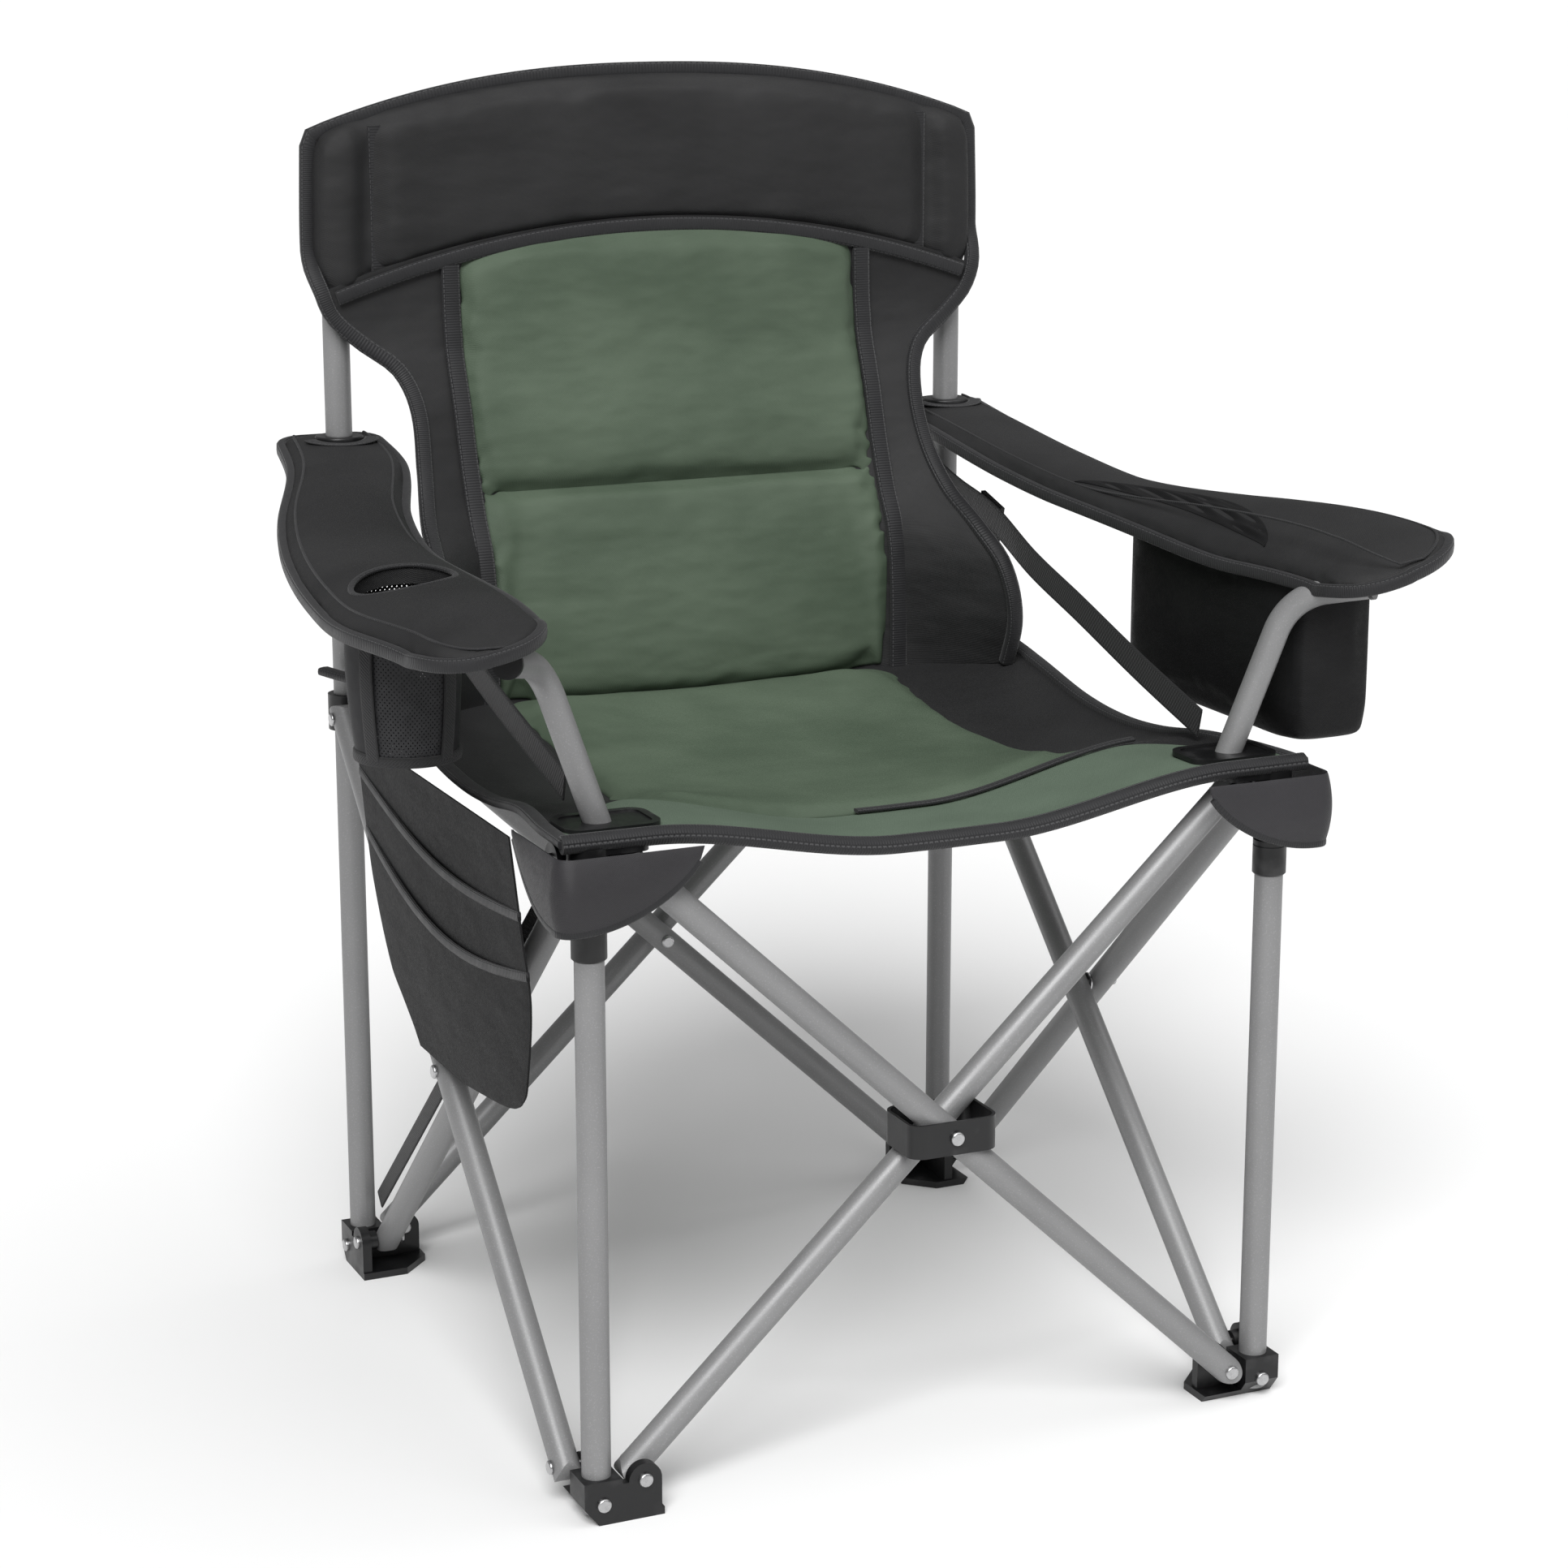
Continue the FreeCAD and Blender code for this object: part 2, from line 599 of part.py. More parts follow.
def makeArm(side):
    rearY = halfSpacing + armRearPast
    frontY = -halfSpacing - armFrontPast
    stretch = (rearY - frontY) / (armRearPast + armDrawnSpan + armFrontPast)

    def beside(station, edge):
        y = rearY + (station[0] - armRearPast) * stretch
        return Vector(side * (halfSpacing + station[edge]), legCentreY + y, 0)

    stations = armStations[side]
    outer = [Vector(side * (halfSpacing + armRearHalf), legCentreY + rearY, 0)]
    outer += [beside(s, 1) for s in stations]
    inner = [beside(s, 2) for s in reversed(stations)]
    inner.append(Vector(side * (halfSpacing - armRearHalf), legCentreY + rearY, 0))
    curve = Part.BSplineCurve()
    tip = Vector(side * (halfSpacing + armFrontOut), legCentreY + frontY, 0)
    curve.interpolate(outer + [tip] + inner)
    rear = Part.makeLine(inner[-1], outer[0])
    plan = Part.Face(Part.Wire([curve.toShape(), rear])).extrude(Vector(0, 0, postTipZ + 300))
    tops = [Vector(0, legCentreY + rearY + (y - armRearPast) * stretch, postTipZ + z) for y, z in armHeights]
    tops.append(Vector(0, legCentreY + frontY - 2.0, postTipZ + armFrontRise))
    surface = Part.BSplineCurve()
    surface.interpolate(tops)
    lower = surface.copy()
    lower.translate(Vector(0, 0, -armThick))
    drop = Vector(0, 0, -armThick)
    profile = Part.Wire([
        surface.toShape(),
        Part.makeLine(tops[-1], tops[-1] + drop),
        lower.toShape(),
        Part.makeLine(tops[0] + drop, tops[0]),
    ])
    slab = Part.Face(profile).extrude(Vector(side * 900, 0, 0))
    arm = slab.common(plan)
    pole = Vector(side * halfSpacing, legCentreY + halfSpacing, postTipZ - 50)
    arm = arm.cut(rod(pole, pole + Vector(0, 0, 250), armRingRadius + touchGap))
    if side < 0:
        cup = Vector(cupX, legCentreY + cupY, postTipZ - 50)
        arm = arm.cut(rod(cup, cup + Vector(0, 0, 250), cupHoleRadius))
    return arm


def makeArmRing(side):
    centre = Vector(side * halfSpacing, legCentreY + halfSpacing, 0)
    ring = rod(centre + Vector(0, 0, armRingZ), centre + Vector(0, 0, armRingZ + armRingThick), armRingRadius)
    rims = [e for e in ring.Edges if e.Closed]
    ring = ring.makeFillet(1.5, rims)
    bore = rod(centre + Vector(0, 0, armRingZ - 20), centre + Vector(0, 0, armRingZ + 30), tubeRadius + runningGap)
    return ring.cut(bore)


def makeCupHolder():
    base = Vector(cupX, legCentreY + cupY, cupBottom)
    height = Vector(0, 0, cupTop - cupBottom)
    cup = Part.makeCone(cupRadius - 5.0, cupRadius, height.z, base)
    inside = Part.makeCone(cupRadius - 5.0 - cupWall, cupRadius - cupWall, height.z, base + Vector(0, 0, cupWall))
    return cup.cut(inside)


def makeBag():
    shape = block(
        Vector(bagInX, legCentreY + bagFrontY, bagBottom),
        Vector(bagOutX, legCentreY + bagRearY, bagTop),
    )
    upright = [e for e in shape.Edges if abs(e.tangentAt(e.FirstParameter).z) > 0.9]
    shape = shape.makeFillet(bagCorner, upright)
    return shape.cut(postSweep(1, [postRadius + bagPostRoom]))


def makePouch():
    """A flat pocket outside the left braces, narrower towards its foot."""
    outline = [
        (165, -14), (133, -110), (92, -170), (30, -206), (22, -218),
        (-65, -212), (-185, -190), (-220, -176), (-231, -111), (-191, 5),
    ]
    points = [Vector(pouchX, legCentreY + y, topPivotZ + z) for y, z in outline]
    return prism(points, Vector(-pouchThick, 0, 0))


def makePocket(side):
    """A corner pocket that covers the hub: a front sheet and an outer sheet, one piece."""
    x0 = side * (pocketGap + pocketThick)
    x1 = side * pocketGap
    inX = side * pocketInX
    y0 = legCentreY - pocketGap - pocketThick
    y1 = legCentreY - pocketGap
    rearY = legCentreY + pocketRearY
    top = hubTop - 0.6
    low = hubTop - pocketDrop
    lowX = side * (halfSpacing - 5.0)
    front = Part.Wire([
        Part.makeLine(Vector(x0, y0, top), Vector(inX, y0, top)),
        Part.Arc(Vector(inX, y0, top), Vector(lowX - side * 35.0, y0, low + 9.0), Vector(lowX, y0, low)).toShape(),
        Part.makeLine(Vector(lowX, y0, low), Vector(x0, y0, low + 4.0)),
        Part.makeLine(Vector(x0, y0, low + 4.0), Vector(x0, y0, top)),
    ])
    sheet = Part.Face(front).extrude(Vector(0, pocketThick, 0))
    outer = prism(
        [
            Vector(x0, y0, top), Vector(x0, rearY, top),
            Vector(x0, rearY - 40.0, low + 18.0), Vector(x0, y0, low + 4.0),
        ],
        Vector(x1 - x0, 0, 0),
    )
    return sheet.fuse(outer).removeSplitter()


def webbing(start, end, width, thick):
    """A flat strap in a plane of constant X between two points, width across it."""
    along = (end - start).normalize()
    across = Vector(0, -along.z, along.y) * (width / 2)
    points = [start - across, end - across, end + across, start + across]
    return prism(points, Vector(thick, 0, 0))


def sideStrapEnds(side):
    x = side * strapX if side < 0 else strapX - strapThick
    rear = Vector(x, legCentreY + strapRearY, strapRearZ)
    front = Vector(x, legCentreY + strapFrontY, strapFrontZ)
    return rear, front


def makeSideStrap(side):
    rear, front = sideStrapEnds(side)
    return webbing(rear, front, strapWidth, strapThick)


def makeBuckle():
    rear, front = sideStrapEnds(1)
    place = rear + (front - rear) * buckleShare
    along = (front - rear).normalize()
    aside = Vector(strapThick + runningGap, 0, 0)
    start = place - along * buckleHalf + aside
    frame = webbing(start, place + along * buckleHalf + aside, strapWidth + 2 * buckleRim, buckleThick)
    for shift in [-9.0, 9.0]:
        a = place + along * (shift - 3.0)
        b = place + along * (shift + 3.0)
        frame = frame.cut(webbing(a, b, strapWidth, strapThick + 5 * buckleThick))
    return frame


def makeStayStrap():
    x = -strapX - strapThick
    low = Vector(x, legCentreY + strapRearY + 5.0, stayFootZ)
    high = Vector(x, legCentreY + 130.0 - halfSpacing, stayTopZ)
    return webbing(low, high, stayWidth, -strapThick)


def build():
    os.makedirs("parts", exist_ok=True)
    foot = makeFoot()
    for quarter, name in enumerate(legNames):
        screwTurn = -1 if name == "front_right" else 0
        shank = legScrew(legScrewRadius)
        screw = makeLegScrew()
        for piece in [shank, screw]:
            piece.rotate(Vector(0, 0, 0), upAxis, 90.0 * screwTurn)
        save(atLeg(foot.cut(shank), quarter), "foot_" + name)
        save(atLeg(group(footPins() + [screw]), quarter), "foot_rivets_" + name)
        top = legTop if quarter < 2 else poleTop
        tube = hollow(Vector(0, 0, footBase), Vector(0, 0, top), tubeRadius, tubeWall).cut(shank)
        save(atLeg(tube, quarter), ("leg_" if quarter < 2 else "pole_") + name)
        save(atLeg(group(hubPins()), quarter), "hub_rivets_" + name)
        if quarter >= 2:
            save(makeRearHub(quarter), "hub_" + name)
            save(makePoleCap(quarter), "pole_cap_" + name.replace("rear_", ""))
    for quarter, name in enumerate(sideNames):
        save(makeBrace(quarter, True), "brace_" + name + "_inner")
        save(makeBrace(quarter, False), "brace_" + name + "_outer")
        save(makeCrossingRivet(quarter), "crossing_rivet_" + name)
    save(makeBracket(), "centre_bracket")
    for side, name in [(-1, "left"), (1, "right")]:
        quarter = 0 if side < 0 else 1
        save(makeFrontHub(side), "hub_front_" + name)
        inner = hollow(Vector(0, 0, innerLegBottom), Vector(0, 0, innerLegTop), innerLegRadius, tubeWall)
        save(atLeg(inner, quarter), "inner_leg_" + name)
        save(makeCollar(side), "collar_" + name)
        save(makePost(side), "arm_post_" + name)
        save(makePostCap(side), "post_cap_" + name)
        save(makeSeatPlate(side), "seat_plate_" + name)
        save(makeArm(side), "arm_" + name)
        save(makeArmRing(side), "arm_ring_" + name)
        save(makePocket(side), "corner_pocket_" + name)
        save(makeSideStrap(side), "side_strap_" + name)
    save(makeSeat(), "seat")
    save(makeBack(), "back_panel")
    save(makeCupHolder(), "cup_holder")
    save(makeBag(), "cooler_bag")
    save(makePouch(), "side_pouch")
    save(makeBuckle(), "strap_buckle")
    save(makeStayStrap(), "stay_strap")


build()
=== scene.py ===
import math

import bpy
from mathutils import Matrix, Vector


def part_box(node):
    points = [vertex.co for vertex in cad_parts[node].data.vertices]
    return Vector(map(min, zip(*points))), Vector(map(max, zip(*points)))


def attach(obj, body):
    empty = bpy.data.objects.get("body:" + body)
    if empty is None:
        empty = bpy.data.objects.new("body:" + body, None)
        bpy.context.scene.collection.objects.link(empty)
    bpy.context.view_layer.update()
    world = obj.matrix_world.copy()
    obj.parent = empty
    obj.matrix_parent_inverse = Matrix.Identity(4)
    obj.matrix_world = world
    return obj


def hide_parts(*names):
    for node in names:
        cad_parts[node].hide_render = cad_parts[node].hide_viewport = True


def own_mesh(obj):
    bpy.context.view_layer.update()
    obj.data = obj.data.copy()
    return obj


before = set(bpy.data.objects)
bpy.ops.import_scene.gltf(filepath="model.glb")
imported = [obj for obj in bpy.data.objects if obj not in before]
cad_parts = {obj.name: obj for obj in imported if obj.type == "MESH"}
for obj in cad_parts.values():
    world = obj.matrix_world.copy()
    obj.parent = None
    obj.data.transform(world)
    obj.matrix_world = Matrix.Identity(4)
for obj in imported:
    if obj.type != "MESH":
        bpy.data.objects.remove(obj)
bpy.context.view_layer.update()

scene = bpy.context.scene

# The chair faces -Y. Places below are in mm, with y from the middle of the leg square.
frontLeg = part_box("leg_front_left")
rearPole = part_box("pole_rear_left")
middleY = (frontLeg[0].y + rearPole[1].y) / 2


def at(x, y, z):
    return Vector((x / 1000, middleY + y / 1000, z / 1000))


def hermite(table, key):
    # reads a table of key, value, value... with smooth curves between its rows
    rows = sorted(table)
    last = len(rows) - 1
    key = min(max(key, rows[0][0]), rows[last][0])
    i = max(k for k in range(last) if rows[k][0] <= key)
    span = rows[i + 1][0] - rows[i][0]
    t = (key - rows[i][0]) / span

    def slope(k, column):
        low, high = max(k - 1, 0), min(k + 1, last)
        return (rows[high][column] - rows[low][column]) / (rows[high][0] - rows[low][0])

    values = []
    for column in range(1, len(rows[0])):
        a, b = rows[i][column], rows[i + 1][column]
        da, db = slope(i, column) * span, slope(i + 1, column) * span
        values.append(
            a * (2 * t**3 - 3 * t**2 + 1) + da * (t**3 - 2 * t**2 + t)
            + b * (3 * t**2 - 2 * t**3) + db * (t**3 - t**2)
        )
    return values if len(values) > 1 else values[0]


def smooth(low, high, value):
    t = min(max((value - low) / (high - low), 0), 1)
    return t * t * (3 - 2 * t)


# materials
class Value:
    # a socket that Python's own operators work on
    def __init__(self, finish, socket):
        self.finish = finish
        self.socket = socket

    def math(self, operation, first, second):
        return self.finish.node("ShaderNodeMath", {"operation": operation}, {0: first, 1: second})

    def __add__(self, other):
        return self.math("ADD", self, other)

    def __sub__(self, other):
        return self.math("SUBTRACT", self, other)

    def __rsub__(self, other):
        return self.math("SUBTRACT", other, self)

    def __mul__(self, other):
        return self.math("MULTIPLY", self, other)

    def __truediv__(self, other):
        return self.math("DIVIDE", self, other)

    __radd__ = __add__
    __rmul__ = __mul__

    def sine(self):
        return self.math("SINE", self, 0)

    def part(self):
        return self.math("FRACT", self, 0)

    def over(self, level):
        return self.math("GREATER_THAN", self, level)

    def under(self, level):
        return self.math("LESS_THAN", self, level)

    def size(self):
        return self.math("ABSOLUTE", self, 0)


class Finish:
    def __init__(self, name, fixed):
        self.material = bpy.data.materials.new(name)
        self.material.use_nodes = True
        self.tree = self.material.node_tree
        self.shader = self.tree.nodes["Principled BSDF"]
        for socket, value in fixed.items():
            self.feed(self.shader.inputs[socket], value)

    def feed(self, socket, value):
        if isinstance(value, Value):
            self.tree.links.new(value.socket, socket)
        elif isinstance(value, tuple) and socket.type == "RGBA":
            socket.default_value = (*value, 1.0)
        else:
            socket.default_value = value

    def node(self, kind, settings, sockets, output=0):
        made = self.tree.nodes.new(kind)
        for setting, value in settings.items():
            setattr(made, setting, value)
        for socket, value in sockets.items():
            self.feed(made.inputs[socket], value)
        return Value(self, made.outputs[output])

    def place(self):
        return self.node("ShaderNodeTexCoord", {}, {}, "Object")

    def cloth(self):
        return self.node("ShaderNodeTexCoord", {}, {}, "UV")

    def axes(self, vector):
        split = self.node("ShaderNodeSeparateXYZ", {}, {"Vector": vector})
        outputs = split.socket.node.outputs
        return [Value(self, outputs[axis]) for axis in range(3)]

    def noise(self, vector, scale, detail=2.0):
        inputs = {"Vector": vector, "Scale": scale, "Detail": detail}
        return self.node("ShaderNodeTexNoise", {}, inputs, "Fac")

    def stretched(self, vector, scale):
        return self.node("ShaderNodeMapping", {}, {"Vector": vector, "Scale": scale})

    def blend(self, factor, first, second):
        return self.node(
            "ShaderNodeMix", {"data_type": "RGBA"}, {0: factor, 6: first, 7: second}, 2
        )

    def ease(self, value, low, high, start=0.0, end=1.0):
        return self.node(
            "ShaderNodeMapRange", {"interpolation_type": "SMOOTHSTEP"},
            {"Value": value, "From Min": low, "From Max": high, "To Min": start, "To Max": end},
        )

    def bump(self, height, depth, strength=1.0, under=None):
        sockets = {"Height": height, "Distance": depth, "Strength": strength}
        if under:
            sockets["Normal"] = under
        return self.node("ShaderNodeBump", {}, sockets)

    def show(self, socket, value):
        self.feed(self.shader.inputs[socket], value)


turn = 2 * math.pi


def makeFabric(name, look):
    # fine plain weave on the object's own axes, soft folds and faded patches
    finish = Finish(name, {
        "Sheen Weight": look["sheen"], "Sheen Roughness": 0.45,
        "Sheen Tint": look["light"], "Specular IOR Level": look["gloss"],
    })
    place = finish.place()
    x, y, z = finish.axes(place)
    thread = turn / look["thread"]
    warp = ((x + y * 0.35) * thread).sine()
    weft = ((z + y * 0.94) * thread).sine()
    threads = warp * weft * 0.5 + 0.5
    patches = finish.noise(place, 9.0, 3.0)
    grain = finish.noise(place, 420.0, 2.0)
    shade = finish.ease(patches, 0.3, 0.7)
    colour = finish.blend(shade, look["dark"], look["light"])
    colour = finish.blend(grain * threads * look["speckle"], colour, look["fleck"])
    finish.show("Base Color", colour)
    finish.show("Roughness", finish.ease(grain, 0.2, 0.8, look["rough"] - 0.06, look["rough"] + 0.06))
    folds = finish.noise(finish.stretched(place, (1.0, 1.0, 2.2)), 14.0, 2.0)
    soft = finish.bump(folds, look["fold"])
    finish.show("Normal", finish.bump(threads + grain * 0.6, look["depth"], 0.8, soft))
    return finish.material


blackLook = {
    "dark": (0.0095, 0.0095, 0.0100), "light": (0.0165, 0.0165, 0.0170), "fleck": (0.045, 0.045, 0.046),
    "thread": 0.0015, "depth": 0.00022, "fold": 0.004, "sheen": 0.12, "rough": 0.62, "gloss": 0.3,
    "speckle": 0.35,
}
greenLook = {
    "dark": (0.050, 0.073, 0.047), "light": (0.074, 0.102, 0.069), "fleck": (0.15, 0.2, 0.15),
    "thread": 0.0015, "depth": 0.00018, "fold": 0.005, "sheen": 0.10, "rough": 0.66, "gloss": 0.28,
    "speckle": 0.25,
}
blackFabric = makeFabric("blackPolyester", blackLook)
greenFabric = makeFabric("sagePolyester", greenLook)
stripFabric = makeFabric("paleSageStrip", {
    **greenLook, "dark": (0.080, 0.110, 0.080), "light": (0.100, 0.136, 0.100), "fold": 0.002,
})
# black polyester darkened further as painted shade, for the pouch and bag under the arms and the lining
# inside the bag's mouth
blackFabricPaintedShade = makeFabric("blackPolyesterPaintedShade", {
    **blackLook, "dark": (0.0035, 0.0035, 0.0038), "light": (0.0070, 0.0070, 0.0074),
    "fleck": (0.02, 0.02, 0.021), "sheen": 0.05, "gloss": 0.2,
})
pocketFabric = makeFabric("liningCloth", {
    **blackLook, "dark": (0.013, 0.012, 0.014), "light": (0.019, 0.018, 0.021), "gloss": 0.4, "rough": 0.5,
})


def makeTape(name, colour, rib):
    # u runs along the tape in metres, v goes round it once, and its outer face is near v 0.25
    finish = Finish(name, {"Sheen Weight": 0.1, "Specular IOR Level": 0.3})
    u, v, _ = finish.axes(finish.cloth())
    ribs = (u * (turn / rib)).sine() * 0.5 + 0.5
    gap = (((v - 0.25).size()) - 0.13).size()
    line = gap.under(0.016)
    dash = (u / 0.0042).part().under(0.68)
    stitch = line * dash
    groove = finish.ease(gap, 0.0, 0.05)
    worn = finish.noise(finish.place(), 60.0, 3.0)
    base = finish.blend(worn, colour, tuple(c * 1.7 for c in colour))
    finish.show("Base Color", finish.blend(stitch, base, (0.055, 0.055, 0.057)))
    finish.show("Roughness", finish.ease(worn, 0.2, 0.8, 0.5, 0.68))
    low = finish.bump(ribs * 0.25 + groove, 0.0009, 0.9)
    finish.show("Normal", finish.bump(stitch, 0.0005, 1.0, low))
    return finish.material


bindingTape = makeTape("bindingTape", (0.010, 0.010, 0.011), 0.0022)


def makeWebbing():
    finish = Finish("ribbedWebbing", {"Sheen Weight": 0.1, "Specular IOR Level": 0.3})
    u, v, _ = finish.axes(finish.cloth())
    ribs = ((u + v * 0.02) * (turn / 0.0026)).sine()
    rows = (v * (turn * 24)).sine()
    pattern = ribs * rows * 0.5 + 0.5
    finish.show("Base Color", finish.blend(pattern, (0.009, 0.009, 0.010), (0.024, 0.024, 0.025)))
    finish.show("Roughness", finish.ease(pattern, 0.0, 1.0, 0.7, 0.55))
    finish.show("Normal", finish.bump(pattern, 0.0005, 0.9))
    return finish.material


webbing = makeWebbing()


def makeMesh(name, pitch, width):
    # see-through net on the cloth's own map
    finish = Finish(name, {"Roughness": 0.6, "Specular IOR Level": 0.3})
    u, v, _ = finish.axes(finish.cloth())
    first = (((u + v) / pitch).part() - 0.5).size()
    second = (((u - v) / pitch).part() - 0.5).size()
    thread = (first.under(width) + second.under(width)).over(0.5)
    finish.show("Alpha", thread)
    worn = finish.noise(finish.place(), 120.0)
    finish.show("Base Color", finish.blend(worn, (0.010, 0.010, 0.011), (0.03, 0.03, 0.032)))
    return finish.material


netCloth = makeMesh("netCloth", 0.0036, 0.32)


def makeCoat():
    # grey powder coat: satin, with a fine orange-peel skin
    finish = Finish("greyPowderCoat", {"Metallic": 0.25, "Specular IOR Level": 0.45})
    place = finish.place()
    skin = finish.noise(place, 900.0, 2.0)
    patches = finish.noise(place, 18.0, 3.0)
    colour = finish.blend(patches, (0.20, 0.20, 0.202), (0.245, 0.245, 0.247))
    finish.show("Base Color", finish.blend(finish.ease(skin, 0.55, 0.75) * 0.3, colour, (0.42, 0.42, 0.42)))
    finish.show("Roughness", finish.ease(patches, 0.3, 0.7, 0.40, 0.48))
    finish.show("Normal", finish.bump(skin, 0.00012, 0.7))
    return finish.material


def makeMoulded(name, colour, rough):
    finish = Finish(name, {"Specular IOR Level": 0.45})
    place = finish.place()
    grain = finish.noise(place, 1400.0, 2.0)
    scuffs = finish.noise(place, 45.0, 5.0)
    finish.show("Base Color", finish.blend(finish.ease(scuffs, 0.55, 0.8), colour, (0.03, 0.03, 0.031)))
    finish.show("Roughness", finish.ease(scuffs, 0.35, 0.7, rough - 0.06, rough + 0.12))
    finish.show("Normal", finish.bump(grain, 0.0001, 0.6))
    return finish.material


def makeZinc():
    finish = Finish("zincPlate", {"Metallic": 1.0})
    place = finish.place()
    flecks = finish.noise(place, 260.0, 4.0)
    finish.show("Base Color", finish.blend(flecks, (0.36, 0.36, 0.37), (0.62, 0.62, 0.62)))
    finish.show("Roughness", finish.ease(flecks, 0.3, 0.7, 0.24, 0.42))
    finish.show("Normal", finish.bump(flecks, 0.00008, 0.5))
    return finish.material


greyCoat = makeCoat()
blackPlastic = makeMoulded("blackNylon", (0.0065, 0.0065, 0.007), 0.36)
zincPlate = makeZinc()

hardFinishes = [
    ("leg_", greyCoat), ("pole_rear", greyCoat), ("brace_", greyCoat), ("inner_leg", greyCoat),
    ("arm_post", greyCoat), ("foot_rivets", zincPlate), ("hub_rivets", zincPlate),
    ("crossing_rivet", zincPlate), ("foot_", blackPlastic), ("hub_", blackPlastic),
    ("collar_", blackPlastic), ("centre_bracket", blackPlastic), ("pole_cap", blackPlastic),
    ("post_cap", blackPlastic), ("arm_ring", blackPlastic), ("seat_plate", blackPlastic),
    ("strap_buckle", blackPlastic),
]
for nodeName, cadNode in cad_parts.items():
    chosen = [finish for start, finish in hardFinishes if nodeName.startswith(start)]
    if chosen:
        cadNode.data.materials.clear()
        cadNode.data.materials.append(chosen[0])
print("materials made")


# making and finishing pieces
def clearSelection():
    bpy.ops.object.select_all(action="DESELECT")


def makeActive(piece):
    clearSelection()
    piece.select_set(True)
    bpy.context.view_layer.objects.active = piece


def gridPiece(name, columns, rows, place, size=(1.0, 1.0)):
    # a grid whose corners u, v run 0 to 1, moved to its shape; size scales its map to metres
    clearSelection()
    bpy.ops.mesh.primitive_grid_add(x_subdivisions=columns, y_subdivisions=rows, size=1.0)
    piece = bpy.context.active_object
    piece.name = name
    piece.data.name = name
    for vertex in piece.data.vertices:
        vertex.co = place(vertex.co.x + 0.5, vertex.co.y + 0.5)
    for corner in piece.data.uv_layers.active.data:
        corner.uv = (corner.uv[0] * size[0], corner.uv[1] * size[1])
    return piece


def closeUp(piece, gap=0.00005):
    # merges seams and poles, fills open ends and turns every face outwards
    makeActive(piece)
    bpy.ops.object.mode_set(mode="EDIT")
    bpy.ops.mesh.select_all(action="SELECT")
    bpy.ops.mesh.remove_doubles(threshold=gap)
    bpy.ops.mesh.fill_holes(sides=0)
    bpy.ops.mesh.select_all(action="SELECT")
    bpy.ops.mesh.normals_make_consistent(inside=False)
    bpy.ops.object.mode_set(mode="OBJECT")


def modify(piece, kind, settings):
    makeActive(piece)
    modifier = piece.modifiers.new(kind.lower(), kind)
    for setting, value in settings.items():
        setattr(modifier, setting, value)
    bpy.ops.object.modifier_apply(modifier=modifier.name)


def removeFaces(piece, test):
    makeActive(piece)
    bpy.ops.object.mode_set(mode="EDIT")
    bpy.ops.mesh.select_mode(type="FACE")
    bpy.ops.mesh.select_all(action="DESELECT")
    bpy.ops.object.mode_set(mode="OBJECT")
    for face in piece.data.polygons:
        face.select = test(face.center)
    bpy.ops.object.mode_set(mode="EDIT")
    bpy.ops.mesh.delete(type="FACE")
    bpy.ops.mesh.select_mode(type="VERT")
    bpy.ops.object.mode_set(mode="OBJECT")


def thicken(piece, thickness, offset=-1.0, gap=0.00005):
    # merges a sheet's seams and gives it thickness, behind it or (offset 0) to both sides
    makeActive(piece)
    bpy.ops.object.mode_set(mode="EDIT")
    bpy.ops.mesh.select_all(action="SELECT")
    bpy.ops.mesh.remove_doubles(threshold=gap)
    bpy.ops.object.mode_set(mode="OBJECT")
    modify(piece, "SOLIDIFY", {"thickness": thickness, "offset": offset})


def subdivide(piece, levels=1):
    modify(piece, "SUBSURF", {"levels": levels, "render_levels": levels})


def smoothShade(piece, degrees=50):
    makeActive(piece)
    bpy.ops.object.shade_smooth_by_angle(angle=math.radians(degrees))


def puff(piece, pressure, limit):
    # fills a closed pad with a short cloth simulation
    # each point moves straight out and no further than the limit
    steps, dip = 20, 0.0004
    before = [(vertex.co.copy(), vertex.normal.copy()) for vertex in piece.data.vertices]
    makeActive(piece)
    cloth = piece.modifiers.new("filling", "CLOTH")
    cloth.settings.use_pressure = True
    cloth.settings.uniform_pressure_force = pressure
    cloth.settings.effector_weights.gravity = 0
    cloth.point_cache.frame_start = 1
    cloth.point_cache.frame_end = steps
    for step in range(1, steps + 1):
        scene.frame_set(step)
    bpy.ops.object.modifier_apply(modifier=cloth.name)
    for vertex, (start, normal) in zip(piece.data.vertices, before):
        rise = (vertex.co - start).dot(normal)
        vertex.co = start + normal * min(max(rise, -dip), limit)
    scene.frame_set(1)


def plump(piece, voxel, pressure, limit, passes):
    # makes a closed shell even, fills it and softens it
    closeUp(piece)
    modify(piece, "REMESH", {"mode": "VOXEL", "voxel_size": voxel})
    puff(piece, pressure, limit)
    modify(piece, "SMOOTH", {"factor": 0.5, "iterations": passes})
    subdivide(piece)
    smoothShade(piece, 80)


def padPiece(name, columns, rows, face, out, crown, back, voxel=0.005, pressure=4.0, limit=0.008, edge=4.0):
    # a crowned closed pad on a surface: swells by crown on its face and by back behind it
    # a sheet hides its border
    def swell(u, v):
        return math.sqrt(max(0, (1 - abs(2 * u - 1) ** edge) * (1 - abs(2 * v - 1) ** edge)))

    front = gridPiece(name, columns, rows, lambda u, v: face(u, v) + out * (crown * swell(u, v)))
    rear = gridPiece(name + "Rear", columns, rows, lambda u, v: face(u, v) - out * (back * swell(u, v)))
    makeActive(front)
    rear.select_set(True)
    bpy.ops.object.join()
    plump(front, voxel, pressure, limit, 3)
    return front


